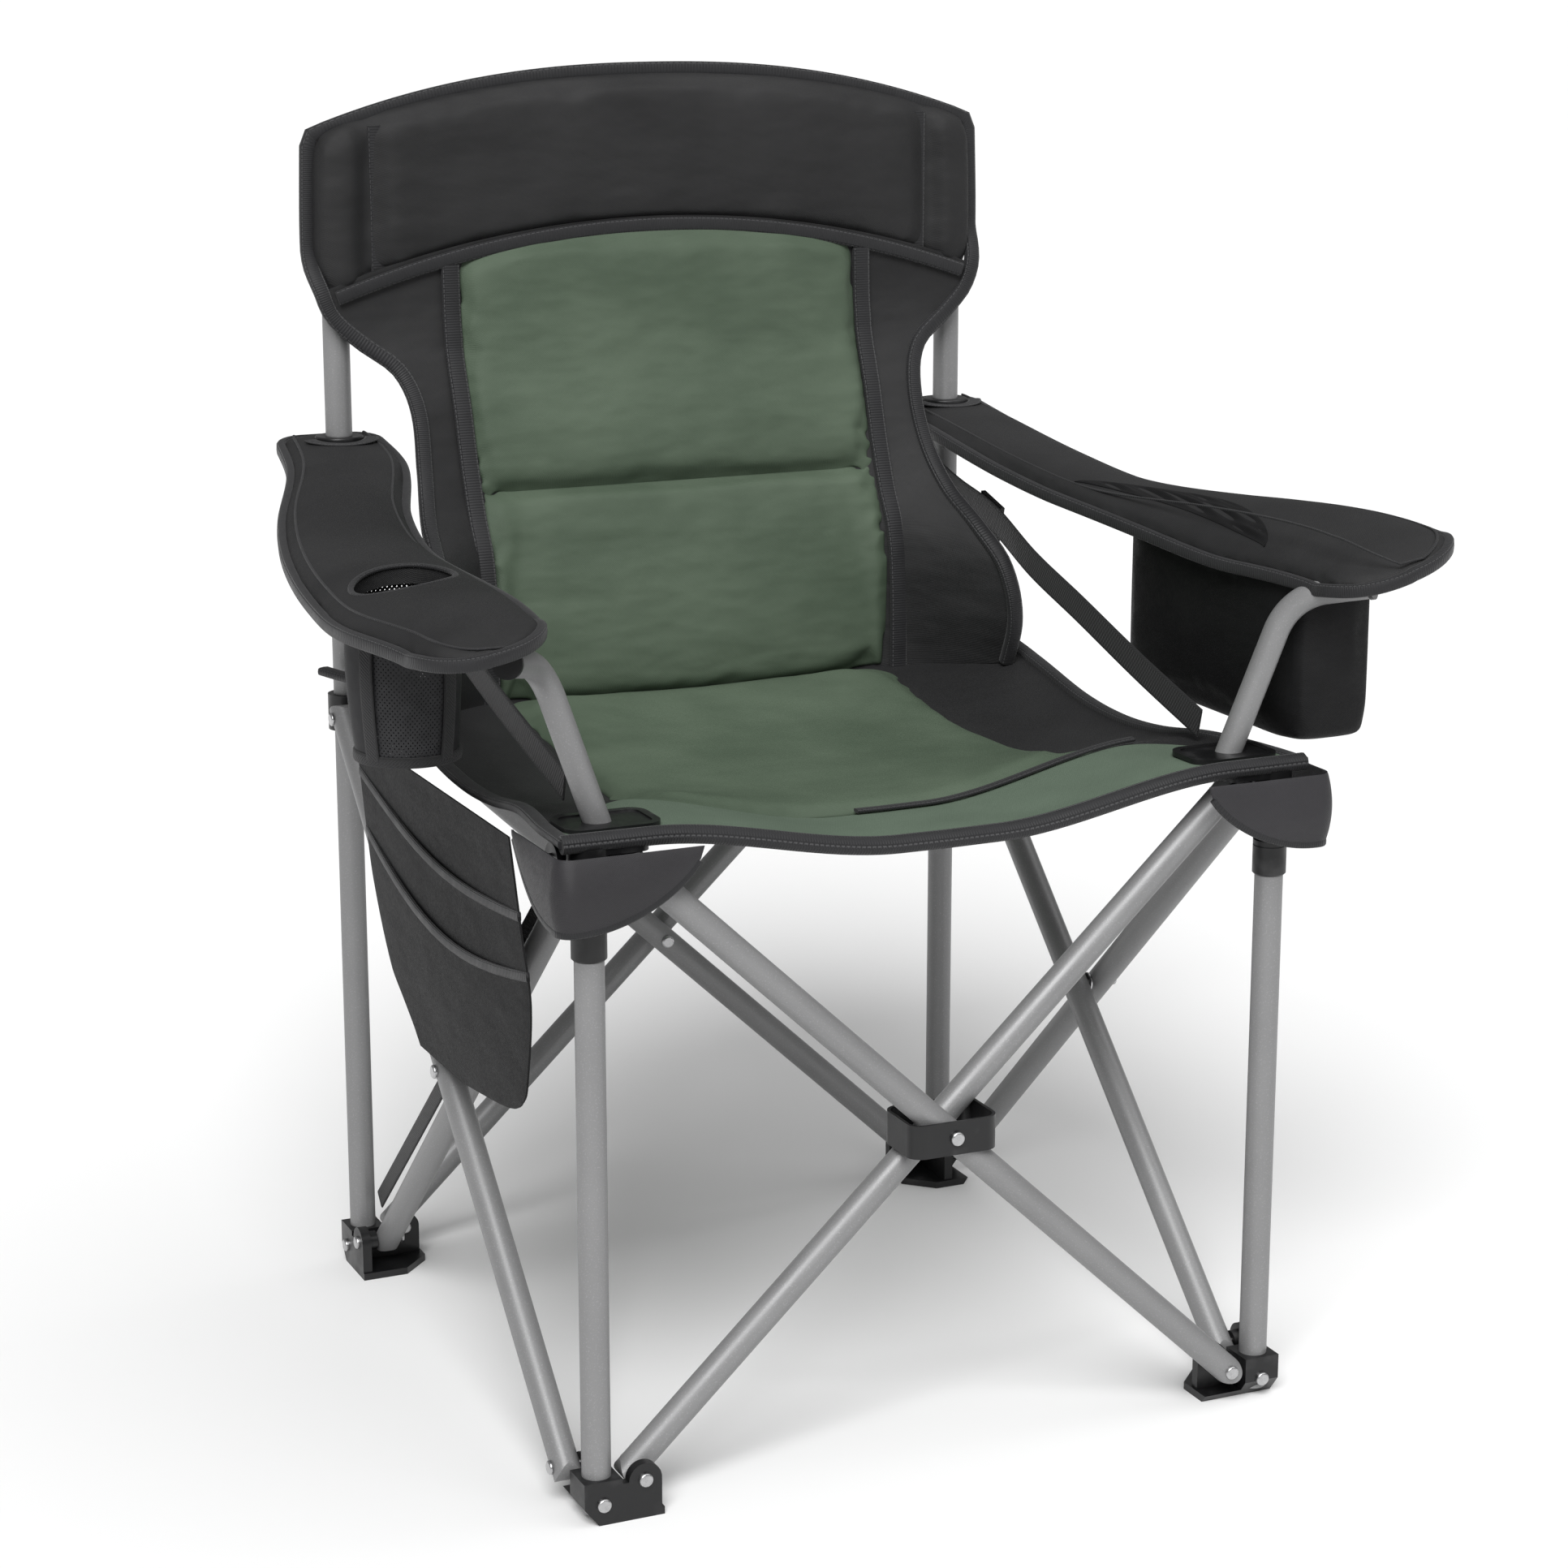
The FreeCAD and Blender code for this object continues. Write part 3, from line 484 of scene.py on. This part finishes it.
def tapePiece(name, path, out, width, thick, closed=False, corner=0.55, sides=12):
    # a strip with rounded edges along a path; out gives the way that its face looks at each point
    count = len(path)
    lengths = [0.0]
    for before, after in zip(path, path[1:]):
        lengths.append(lengths[-1] + (after - before).length)
    total = lengths[-1]

    def section(u, v):
        i = min(int(round(u * (count - 1))), count - 1)
        if closed:
            ahead, behind = path[(i + 1) % (count - 1)], path[(i - 1) % (count - 1)]
        else:
            ahead, behind = path[min(i + 1, count - 1)], path[max(i - 1, 0)]
        along = (ahead - behind).normalized()
        normal = out(i) if callable(out) else out
        across = along.cross(normal).normalized()
        normal = across.cross(along).normalized()
        angle = turn * v
        c, s = math.cos(angle), math.sin(angle)
        side = math.copysign(abs(c) ** corner, c) * width / 2
        rise = math.copysign(abs(s) ** corner, s) * thick / 2
        return path[i] + across * side + normal * rise

    piece = gridPiece(name, count - 1, sides, section, (total, 1.0))
    closeUp(piece)
    smoothShade(piece, 60)
    return piece


def sample(count, place):
    return [place(i / (count - 1)) for i in range(count)]


groups = {
    "seat": {"body": "seat", "joint": "fold", "axis": (1, 0, 0), "anchor": (-0.2496, 0, 0), "keep": 0.119},
    "back": {"body": "rear_left_leg", "joint": "fold", "axis": (1, 0, 0), "anchor": (-0.280, 0, 0),
             "keep": 0.214},
    "armLeft": {"body": "left_arm", "joint": "fold", "axis": (0, 0.585, 0.0686),
                "anchor": tuple(at(-345, -305, 652)), "keep": 0.333},
    "armRight": {"body": "right_arm", "joint": "fold", "axis": (0, 0.585, 0.0686),
                 "anchor": tuple(at(345, -305, 652)), "keep": 0.333},
    "strapLeft": {"body": "left_side_strap", "joint": "fold", "axis": (0, -0.454, -0.126),
                  "anchor": tuple(at(-266, 258, 662)), "keep": 0.18},
    "strapRight": {"body": "right_side_strap", "joint": "fold", "axis": (0, -0.454, -0.126),
                   "anchor": tuple(at(266, 258, 662)), "keep": 0.18},
    "stay": {"body": "stay"},
    "pouch": {"body": "front_left_hub", "joint": "fold", "axis": (0, 1, 0), "anchor": tuple(at(0, -250, 0)),
              "keep": 0.3},
    "pocketLeft": {"body": "front_left_hub", "joint": "fold", "axis": (1, 0, 0), "anchor": (-0.280, 0, 0),
                   "keep": 0.5},
    "pocketRight": {"body": "front_right_hub", "joint": "fold", "axis": (1, 0, 0), "anchor": (0.280, 0, 0),
                    "keep": 0.5},
}


def fit(piece, group, material, replaced=()):
    # gives a finished piece its material and its body, a mesh of its own if its group folds, and hides the
    # parts that it replaces
    piece.data.materials.clear()
    piece.data.materials.append(material)
    facts = groups[group]
    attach(piece, facts["body"])
    if "joint" in facts:
        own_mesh(piece)
    if replaced:
        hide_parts(*replaced)


toFront = Vector((0, -1, 0))
upwards = Vector((0, 0, 1))

# back
back = {
    # height: half width, y of the middle, y of the side edge
    "levels": [
        (512, 262, 196, 118), (560, 262, 200, 100), (605, 255, 208, 108), (635, 245, 216, 140),
        (660, 238, 222, 182), (700, 230, 232, 214), (750, 228, 246, 234), (782, 240, 256, 248),
        (804, 268, 260, 257), (824, 289, 262, 261), (845, 298, 263, 262), (869, 303, 263, 263),
        (970, 301, 263, 263),
    ],
    "panelHalf": 185, "creaseZ": 678, "seamZ": 891, "seamDrop": 50, "sheet": 5,
    "topZ": 1016, "topDrop": 44,
}


def seamHeight(x):
    return back["seamZ"] - back["seamDrop"] * (x / 285) ** 2


def topHeight(x):
    return back["topZ"] - back["topDrop"] * (abs(x) / 288) ** 2.3


def backFront(x, z, lift=0.0):
    half, centreY, sideY = hermite(back["levels"], z)
    share = min(abs(x) / half, 1.0)
    lean = max(0.0, (share - 0.62) / 0.38) ** 1.25
    if z > 800:
        lean = share**2
    return at(x, centreY + (sideY - centreY) * lean - lift, z)


def footHeight(x):
    # the lower edge dips into the seat behind the sitter
    return 494 + 30 * (abs(x) / 287) ** 2.2


def backSheetAt(u, v):
    share = 2 * u - 1
    low = footHeight(share * 262)
    z = low + v * (seamHeight(share * 290) + 6 - low)
    half = hermite(back["levels"], z)[0] - 2
    return backFront(share * half, z)


backSheet = gridPiece("back_sheet", 72, 84, backSheetAt)
thicken(backSheet, back["sheet"] / 1000)
smoothShade(backSheet, 60)
fit(backSheet, "back", blackFabric, ["back_panel"])


def bandAt(u, v):
    share = 2 * u - 1
    low = seamHeight(share * 285) - 5
    high = topHeight(share * 288)
    z = low + v * (high - low)
    half = hermite(back["levels"], z)[0] - 3
    inset = 1 - 0.02 * smooth(0.85, 1.0, v) * smooth(0.9, 1.0, abs(share))
    return at(share * half * inset, 281, z)


def bandDepth(u, v):
    # half the band's thickness: full in the middle, fuller where it slips over the poles
    share = abs(2 * u - 1)
    x = share * 295
    sleeve = math.exp(-((x - 279) / 20) ** 4)
    middle = 1 - smooth(226, 248, x)
    edge = math.sqrt(max(0, 1 - abs(2 * v - 1) ** 12)) * (1 - share**60) ** 0.5
    depth = 8 + 10 * middle * (0.7 + 0.3 * math.sqrt(max(0, 1 - (2 * v - 1) ** 2))) + 11.5 * sleeve
    return toFront * (depth * edge / 1000)


bandFront = gridPiece("back_band", 120, 34, lambda u, v: bandAt(u, v) + bandDepth(u, v))
bandRear = gridPiece("bandRear", 120, 34, lambda u, v: bandAt(u, v) - bandDepth(u, v))
makeActive(bandFront)
bandRear.select_set(True)
bpy.ops.object.join()
plump(bandFront, 0.005, 2.5, 0.004, 2)
fit(bandFront, "back", blackFabric, ["back_panel"])


def panelAt(low, high):
    def place(u, v):
        x = (2 * u - 1) * back["panelHalf"]
        top = high(x)
        z = low(x) + v * (top - low(x))
        return backFront(x, z, -2)
    return place


upperPanel = padPiece(
    "back_pad_upper", 56, 40, panelAt(lambda x: back["creaseZ"] - 6, lambda x: seamHeight(x) + 2),
    toFront, 0.016, 0.002, limit=0.006,
)
lowerPanel = padPiece(
    "back_pad_lower", 56, 34, panelAt(lambda x: footHeight(x) + 1, lambda x: back["creaseZ"] + 6),
    toFront, 0.016, 0.002, limit=0.006,
)
for panel in [upperPanel, lowerPanel]:
    fit(panel, "back", greenFabric)


def addTape(name, group, path, out, width, thick, closed=False):
    fit(tapePiece(name, path, out, width, thick, closed), group, bindingTape)


def backEdge(t):
    # round the whole outline of the band and the wings, from one lower corner to the other
    sideShare, lowZ, highZ = 0.36, 519, 966
    if sideShare <= t <= 1 - sideShare:
        x = -298 + 596 * (t - sideShare) / (1 - 2 * sideShare)
        return at(x, 281, topHeight(x) + 1)
    side = -1 if t < sideShare else 1
    z = lowZ + min(t, 1 - t) / sideShare * (highZ - lowZ)
    return backFront(side * (hermite(back["levels"], z)[0] - 2), z, -1 - 17 * smooth(840, 880, z))


def bandSeam(t):
    x = (2 * t - 1) * 284
    return backFront(x, seamHeight(x) - 1, 3)


addTape("back_edge_tape", "back", sample(181, backEdge), toFront, 0.013, 0.009)
addTape("band_seam_tape", "back", sample(61, bandSeam), toFront, 0.012, 0.005)
for side, word in [(-1, "left"), (1, "right")]:
    def sleeveLine(t):
        low, high = seamHeight(246) + 6, topHeight(246) - 8
        return at(side * 246, 269, low + t * (high - low))

    def panelLine(t):
        low, high = 506, seamHeight(187) - 6
        return backFront(side * 187, low + t * (high - low), 3)

    addTape(f"sleeve_tape_{word}", "back", sample(25, sleeveLine), toFront, 0.012, 0.003)
    addTape(f"panel_tape_{word}", "back", sample(61, panelLine), toFront, 0.016, 0.005)
print("back made")

# seat
seat = {
    # y: height of the side edge, height of the middle
    "lengthwise": [(-291, 517, 489), (-250, 516, 486), (-172, 513, 479), (-100, 503, 475),
                   (-40, 500, 475), (25, 505, 477), (100, 520, 484), (150, 528, 492),
                   (200, 531, 500), (262, 533, 508)],
    "sides": [(-291, 303), (-240, 300), (-161, 290), (0, 286), (200, 289), (262, 308)],
}


def seatHeight(x, y):
    edge, middle = hermite(seat["lengthwise"], y)
    half = hermite(seat["sides"], y)
    share = min(abs(x) / half, 1)
    bowl = share**2.2
    front = smooth(0.13, 0.78, share) * 0.93 + 0.07 * share
    near = smooth(-60, -180, y) if y < -60 else 0
    return middle + (edge - middle) * (bowl + (front - bowl) * near)


def seatAt(u, v, lift=0.0):
    y = -290 + v * (262 + 290)
    x = (2 * u - 1) * (hermite(seat["sides"], y) - 2)
    return at(x, y, seatHeight(x, y) + lift)


seatSheet = gridPiece("seat_sheet", 80, 76, seatAt)
rearCut = at(0, 200, 0).y
removeFaces(seatSheet, lambda centre: centre.y > rearCut and abs(centre.x) < 0.222)
thicken(seatSheet, 0.004)
smoothShade(seatSheet, 60)
fit(seatSheet, "seat", blackFabric, ["seat"])

padBorder = [(-174, 222), (-150, 217), (-138, 198), (-110, 191), (-80, 187), (-20, 180),
             (30, 176), (60, 176), (120, 177), (170, 181), (202, 184)]


def seatPadAt(u, v):
    y = -172 + v * (202 + 172)
    x = (2 * u - 1) * hermite(padBorder, y)
    return at(x, y, seatHeight(x, y) - 2.5)


seatPad = padPiece("seat_pad", 64, 62, seatPadAt, upwards, 0.011, 0.002, limit=0.005, edge=6.0)
fit(seatPad, "seat", greenFabric)


stripRear = [(0, -172), (200, -174), (232, -190), (262, -222), (300, -240)]


def stripShape(u, v):
    x = (2 * u - 1) * 296
    rear = hermite(stripRear, abs(x))
    y = -284 + v * (rear + 284)
    return at(x, y, seatHeight(x, y) + 1.6)


seatStrip = gridPiece("seat_front_strip", 90, 14, stripShape)
thicken(seatStrip, 0.0024)
smoothShade(seatStrip, 60)
fit(seatStrip, "seat", stripFabric)


def hemLine(t):
    x = (2 * t - 1) * 303
    return at(x, -288, seatHeight(x, -291) - 1)


def seatSeam(t):
    x = -20 + 240 * t
    return at(x, -171, seatHeight(x, -171) + 4.5)


hem = tapePiece("seat_hem", sample(91, hemLine), Vector((0, -0.55, 0.83)), 0.014, 0.012, corner=0.8)
fit(hem, "seat", bindingTape)
for side, word in [(-1, "left"), (1, "right")]:
    def sideLine(t):
        y = -290 + t * (262 + 290)
        x = side * (hermite(seat["sides"], y) - 3)
        return at(x, y, seatHeight(x, y))
    addTape(f"seat_edge_tape_{word}", "seat", sample(81, sideLine), upwards, 0.012, 0.007)

addTape("seat_seam_tape", "seat", sample(61, seatSeam), upwards, 0.008, 0.003)
print("seat made")

# arms, with the cup holder's place and size
cup = {"x": -367, "y": -148, "low": 556, "high": 674, "lowRadius": 37, "highRadius": 42}
arms = {
    # y, outer edge, inner edge
    "left": [(318, 322, 238), (222, 340, 243), (100, 384, 281), (0, 409, 298), (-100, 423, 304),
             (-200, 426, 308), (-280, 408, 314)],
    "right": [(318, 322, 238), (222, 324, 240), (100, 332, 247), (0, 346, 260), (-100, 376, 282),
              (-200, 410, 300), (-280, 424, 313)],
    "tops": [(318, 727), (222, 718), (100, 703), (0, 692), (-150, 687), (-240, 686),
             (-290, 681), (-327, 668)],
    "droops": [(318, 3), (222, 8), (100, 12), (0, 13), (-150, 14), (-280, 13)],
    "leans": {"left": -8, "right": 16},       # how far the front's outer edge stands over its middle
    "tip": 364, "frontY": -280, "reach": 47, "corner": 20, "rearY": 318,
}


def armSection(word, y):
    outer, inner = hermite(arms[word], y)
    past = (arms["frontY"] - y) / arms["reach"]
    if past > 0:
        bend = math.sqrt(max(0, 1 - past**2.2))
        outer = arms["tip"] + (outer - arms["tip"]) * bend
        inner = arms["tip"] + (inner - arms["tip"]) * bend
    rearPast = (y - arms["rearY"] + arms["corner"]) / arms["corner"]
    if rearPast > 0:
        inset = arms["corner"] * (1 - math.sqrt(max(0, 1 - rearPast**2)))
        outer, inner = outer - inset, inner + inset
    return outer, inner


def armY(v):
    # eases into both ends, where the outline turns
    rearEnd, frontStart = 0.05, 0.86
    if v < rearEnd:
        return arms["rearY"] - arms["corner"] * (1 - math.cos(v / rearEnd * math.pi / 2))
    if v > frontStart:
        return arms["frontY"] - arms["reach"] * math.sin((v - frontStart) / (1 - frontStart) * math.pi / 2)
    start = arms["rearY"] - arms["corner"]
    return start + (arms["frontY"] - start) * (v - rearEnd) / (frontStart - rearEnd)


def armHeight(word, share, y):
    past = max(0, (arms["frontY"] - y) / arms["reach"])
    lean = arms["leans"][word] * share * smooth(20, 230, -y + 40) * math.sqrt(max(0, 1 - past**2.2))
    return hermite(arms["tops"], y) + lean - hermite(arms["droops"], y) * abs(share) ** 2.4 * (1 - past)


def makeArm(word, side):
    def face(u, v):
        y = armY(v)
        outer, inner = armSection(word, y)
        share = 2 * u - 1
        x = (outer + inner) / 2 + share * (outer - inner) / 2
        return at(side * x, y, armHeight(word, share, y) - 7)

    pad = padPiece(
        f"arm_pad_{word}", 24, 120, face, upwards, 0.0065, 0.0055, limit=0.0012, edge=8.0, voxel=0.004,
    )
    group = "armLeft" if side < 0 else "armRight"
    if side < 0:
        clearSelection()
        # the round opening over the cup holder
        place = at(cup["x"], cup["y"], 680)
        bpy.ops.mesh.primitive_cylinder_add(vertices=64, radius=0.037, depth=0.08, location=place)
        cutter = bpy.context.active_object
        makeActive(pad)
        modify(pad, "BOOLEAN", {"operation": "DIFFERENCE", "object": cutter, "solver": "EXACT"})
        bpy.data.objects.remove(cutter)
        smoothShade(pad, 60)
    fit(pad, group, blackFabric, [f"arm_{word}"])

    def edge(t):
        # down the outer side, round the front and back up the inner one
        v = 2 * t if t < 0.5 else 2 * (1 - t)
        y = armY(v)
        outer, inner = armSection(word, y)
        x = outer - 1 if t < 0.5 else inner + 1
        return at(side * x, y, armHeight(word, 1 if t < 0.5 else -1, y) - 7)

    path = sample(241, edge)
    path.append(path[0])
    addTape(f"arm_edge_tape_{word}", group, path, upwards, 0.008, 0.0105, closed=True)

    def hemLine(t):
        # a stitched line a finger's width inside the binding
        v = 0.04 + 0.93 * (2 * t if t < 0.5 else 2 * (1 - t))
        y = armY(v)
        outer, inner = armSection(word, y)
        share = 1 - 24 / (outer - inner)
        x = (outer + inner) / 2 + (share if t < 0.5 else -share) * (outer - inner) / 2
        return at(side * x, y, armHeight(word, share, y) - 0.2)

    addTape(f"arm_seam_{word}", group, sample(161, hemLine), upwards, 0.0022, 0.0016)


for side, word in [(-1, "left"), (1, "right")]:
    makeArm(word, side)


def poleFlap(t, side):
    # the half-round patch in front of the pole
    angle = math.pi * (0.08 + 0.84 * t)
    radius = 27.2
    x, y = 280 + radius * math.cos(angle), 282 - radius * math.sin(angle)
    return at(side * x, y, armHeight("left", 0.35, y) + 0.6)


for side, word in [(-1, "left"), (1, "right")]:
    addTape(f"pole_patch_{word}", "armLeft" if side < 0 else "armRight",
            sample(33, lambda t: poleFlap(t, side)), upwards, 0.012, 0.002)


def wrinkledAt(u, v):
    # the gathered lining round the bag's mouth, set into the right arm's top
    y = 20 - 225 * u
    outer, inner = armSection("right", y)
    swell = math.sin(math.pi * u) ** 0.7
    x = inner + 12 + (10 + 34 * v * (0.5 + 0.5 * u)) * swell
    share = (x - (outer + inner) / 2) / ((outer - inner) / 2)
    fold = 1.6 * math.sin(x * 0.55 + 3 * math.sin(y * 0.021)) + 1.0 * math.sin(x * 0.9 + y * 0.05)
    return at(x, y, armHeight("right", share, y) + 1.4 + fold * math.sin(math.pi * v) * swell)


lining = gridPiece("bag_mouth_lining", 80, 44, wrinkledAt)
thicken(lining, 0.0008)
smoothShade(lining, 70)
# the lining's darker cloth is painted shade inside the bag's mouth
fit(lining, "armRight", blackFabricPaintedShade)


def holeRim(t):
    angle, radius = turn * t, 37.5
    x, y = -cup["x"] - radius * math.cos(angle), cup["y"] + radius * math.sin(angle)
    outer, inner = armSection("left", y)
    share = (x - (outer + inner) / 2) / ((outer - inner) / 2)
    return at(-x, y, armHeight("left", share, y) - 0.5)


addTape("cup_rim_tape", "armLeft", sample(65, holeRim), upwards, 0.0045, 0.003, closed=True)
print("arms made")

# cup holder and bag
def cupAt(u, v):
    # the first fifth of the way is the round bottom
    angle = turn * u
    if v < 0.2:
        radius, z = cup["lowRadius"] * v / 0.2, cup["low"] + 1
    else:
        t = (v - 0.2) / 0.8
        sag = 1.6 * math.sin(5 * angle) * math.sin(math.pi * t) + 2.0 * math.sin(math.pi * t)
        radius = cup["lowRadius"] + (cup["highRadius"] - cup["lowRadius"]) * t + sag
        z = cup["low"] + 1 + t * (cup["high"] - cup["low"])
    return at(cup["x"] + radius * math.cos(angle), cup["y"] + radius * math.sin(angle), z)


cupNet = gridPiece("cup_net", 72, 30, cupAt, (0.264, 0.132))
thicken(cupNet, 0.0008)
smoothShade(cupNet, 60)
fit(cupNet, "armLeft", netCloth, ["cup_holder"])


def ring(x, y, radius, z):
    return sample(49, lambda t: at(x + radius * math.cos(turn * t), y + radius * math.sin(turn * t), z))


base = tapePiece("cup_base_tape", ring(cup["x"], cup["y"], 37.5, 559), upwards, 0.004, 0.008, closed=True)
fit(base, "armLeft", webbing)
for index, angle in enumerate([0.5, 2.1, 3.7, 5.2]):
    def cupLine(t):
        radius = 38.2 + 5.0 * t + 2.6 * math.sin(math.pi * t)
        return at(cup["x"] + radius * math.cos(angle), cup["y"] + radius * math.sin(angle), 558 + 104 * t)
    outwards = Vector((math.cos(angle), math.sin(angle), 0))
    piece = tapePiece(f"cup_strap_{index + 1}", sample(17, cupLine), outwards, 0.012, 0.002)
    fit(piece, "armLeft", webbing)

bag = {"inner": 308, "outer": 391, "front": -258, "rear": 13, "low": 521, "high": 655, "corner": 24}


def bagAt(u, v):
    angle = turn * u
    c, s = math.cos(angle), math.sin(angle)
    power = 0.28
    x = math.copysign(abs(c) ** power, c)
    y = math.copysign(abs(s) ** power, s)
    bulge = math.sin(math.pi * min(max(v, 0), 1))
    if v < 0.12:
        shrink, z = v / 0.12, bag["low"]
    else:
        t = (v - 0.12) / 0.88
        z = bag["low"] + t * (bag["high"] - bag["low"])
        shrink = 0.95 + 0.05 * min(1, t * 5) ** 0.5
    halfX = (bag["outer"] - bag["inner"]) / 2
    halfY = (bag["rear"] - bag["front"]) / 2
    puffX = 3.0 * bulge * (1 - abs(y) ** 2)
    return at((bag["inner"] + bag["outer"]) / 2 + x * (halfX * shrink - 3 + puffX),
              (bag["front"] + bag["rear"]) / 2 + y * (halfY * shrink), z)


bagShell = gridPiece("cooler_bag_shell", 120, 34, bagAt)
plump(bagShell, 0.005, 2.0, 0.003, 2)
# the bag's darker cloth is painted shade under the right arm
fit(bagShell, "armRight", blackFabricPaintedShade, ["cooler_bag"])
print("cup holder and bag made")

# pouch under the left arm
pouch = {
    # height: rear edge, front edge
    "sides": [(276, 22, -66), (290, 40, -180), (304, 62, -212), (324, 92, -222), (384, 133, -231),
              (430, 150, -215), (480, 165, -198), (500, 170, -191)],
    "x": -306.5,
}


def pouchAt(u, v, low, high, lift):
    z = low(u) + v * (high(u) - low(u))
    rear, front = hermite(pouch["sides"], z)
    y = rear + u * (front - rear)
    belly = math.sin(math.pi * u) ** 0.7 * math.sin(math.pi * min(1, max(0, (z - 276) / 224)))
    return at(pouch["x"] - lift * belly, y, z)


def flat(height):
    return lambda u: height


pouchBack = gridPiece("pouch_back", 40, 40, lambda u, v: pouchAt(u, v, flat(277), flat(499), 1.0))
thicken(pouchBack, 0.0016, 0)
smoothShade(pouchBack, 60)
# the pouch's darker cloth is painted shade under the left arm
fit(pouchBack, "pouch", blackFabricPaintedShade, ["side_pouch"])


def mouthLow(u):
    return 425 - 26 * math.sin(math.pi * u) - 22 * u


def mouthHigh(u):
    return 470 - 18 * math.sin(math.pi * u) - 26 * u


for name, mouth, lift in [("pouch_pocket", mouthHigh, 4.0), ("pouch_front", mouthLow, 6.5)]:
    layer = gridPiece(name, 48, 40, lambda u, v: pouchAt(u, v, flat(278), mouth, lift))
    thicken(layer, 0.0016, 0)
    smoothShade(layer, 60)
    # the pouch layers' darker cloth is painted shade under the left arm
    fit(layer, "pouch", blackFabricPaintedShade)
    addTape(name + "_tape", "pouch", sample(49, lambda t: pouchAt(t, 1.0, flat(278), mouth, lift + 0.8)),
            Vector((-1, 0, 0)), 0.008, 0.003)
print("pouch made")

# corner pockets
for side, word in [(-1, "left"), (1, "right")]:
    group = "pocketLeft" if side < 0 else "pocketRight"

    def pocketAt(u, v):
        # u goes from the inner end of the front, round the corner, to the rear end of the outer side
        length = 107 + 97
        run = u * length
        if u < 0.5:
            t = u / 0.5
            low = 511 - 54 * math.sin(min(1, t * 1.06) * math.pi / 2) ** 0.62
        else:
            t = (u - 0.5) / 0.5
            low = 457 + 54 * (1 - math.cos(t * math.pi / 2)) ** 1.7
        z = 511 - v * (511 - low)
        belly = 4.5 * math.sin(math.pi * v) ** 0.8 * math.sin(math.pi * u) ** 0.5
        if run < 97:
            return at(side * (205 + run), -312.5 - belly, z)
        if run > 117:
            return at(side * (312.5 + belly), -312.5 + 10 + (run - 117), z)
        angle = (run - 97) / 20 * math.pi / 2
        radius = 10.5 + belly
        return at(side * (302 + radius * math.sin(angle)), -302 - radius * math.cos(angle), z)

    pocket = gridPiece(f"corner_cover_{word}", 64, 22, pocketAt)
    thicken(pocket, 0.0018, 0, gap=0.0002)
    smoothShade(pocket, 60)
    fit(pocket, group, pocketFabric, [f"corner_pocket_{word}"])
    addTape(f"corner_cover_tape_{word}", group, sample(61, lambda t: pocketAt(0.02 + 0.96 * t, 1.0)),
            lambda i: toFront if i < 30 else Vector((side, 0, 0)), 0.006, 0.004)
print("corner pockets made")


# straps
def strapPath(points, count):
    rows = [(i, *p) for i, p in enumerate(points)]
    return sample(count, lambda t: at(*hermite(rows, t * (len(points) - 1))))


straps = [
    # name, body, cad piece, side, width, steps, points from rear to front
    ("strap_right", "strapRight", "side_strap_right", 1, 0.025, 61,
     [(262, 258, 662), (263, 215, 651), (263, 150, 638), (264, 80, 610), (265, 0, 586),
      (265, -100, 556), (265, -196, 530)]),
    ("strap_left", "strapLeft", "side_strap_left", -1, 0.025, 61,
     [(-265, 258, 662), (-265, 150, 632), (-265, 60, 601), (-265, -50, 570), (-265, -196, 534)]),
    ("stay_webbing", "stay", "stay_strap", -1, 0.016, 41,
     [(-269, 263, 60), (-269, 56, 246), (-269, -150, 432)]),
]
for name, group, node, side, width, steps, points in straps:
    strap = tapePiece(name, strapPath(points, steps), Vector((side, 0, 0)), width, 0.0018, corner=0.35)
    fit(strap, group, webbing, [node])
print("straps made")

# stage
clearSelection()
bpy.ops.mesh.primitive_plane_add(size=160)
floor = bpy.context.active_object
floor.name = "floor"
floorLook = {"Base Color": (0.86, 0.86, 0.86), "Roughness": 0.9, "Specular IOR Level": 0.1}
floorFinish = Finish("paleFloor", floorLook)
floor.data.materials.append(floorFinish.material)

world = bpy.data.worlds.new("studio")
scene.world = world
scene.view_settings.view_transform = "Standard"
world.use_nodes = True
world.node_tree.nodes["Background"].inputs["Color"].default_value = (1, 1, 1, 1)
world.node_tree.nodes["Background"].inputs["Strength"].default_value = 0.26


def addSun(name, azimuth, elevation, power, spread):
    lamp = bpy.data.lights.new(name, "SUN")
    lamp.energy = power
    lamp.angle = math.radians(spread)
    light = bpy.data.objects.new(name, lamp)
    scene.collection.objects.link(light)
    light.rotation_euler = (math.radians(90 - elevation), 0, math.radians(azimuth))


addSun("keySoft", -30, 46, 3.3, 34)
addSun("fillSoft", 60, 62, 0.9, 60)

view = {"azimuth": -24.23, "elevation": 13.97, "distance": 2.856,
        "target": (-0.003, middleY, 0.464), "lens": 81.45}
camera = bpy.data.objects.new("camera", bpy.data.cameras.new("camera"))
scene.collection.objects.link(camera)
azimuth, elevation = math.radians(view["azimuth"]), math.radians(view["elevation"])
target = Vector(view["target"])
level = math.cos(elevation)
away = Vector((math.sin(azimuth) * level, -math.cos(azimuth) * level, math.sin(elevation)))
camera.location = target + away * view["distance"]
camera.rotation_euler = (-away).to_track_quat("-Z", "Y").to_euler()
camera.data.lens = view["lens"]
scene.camera = camera
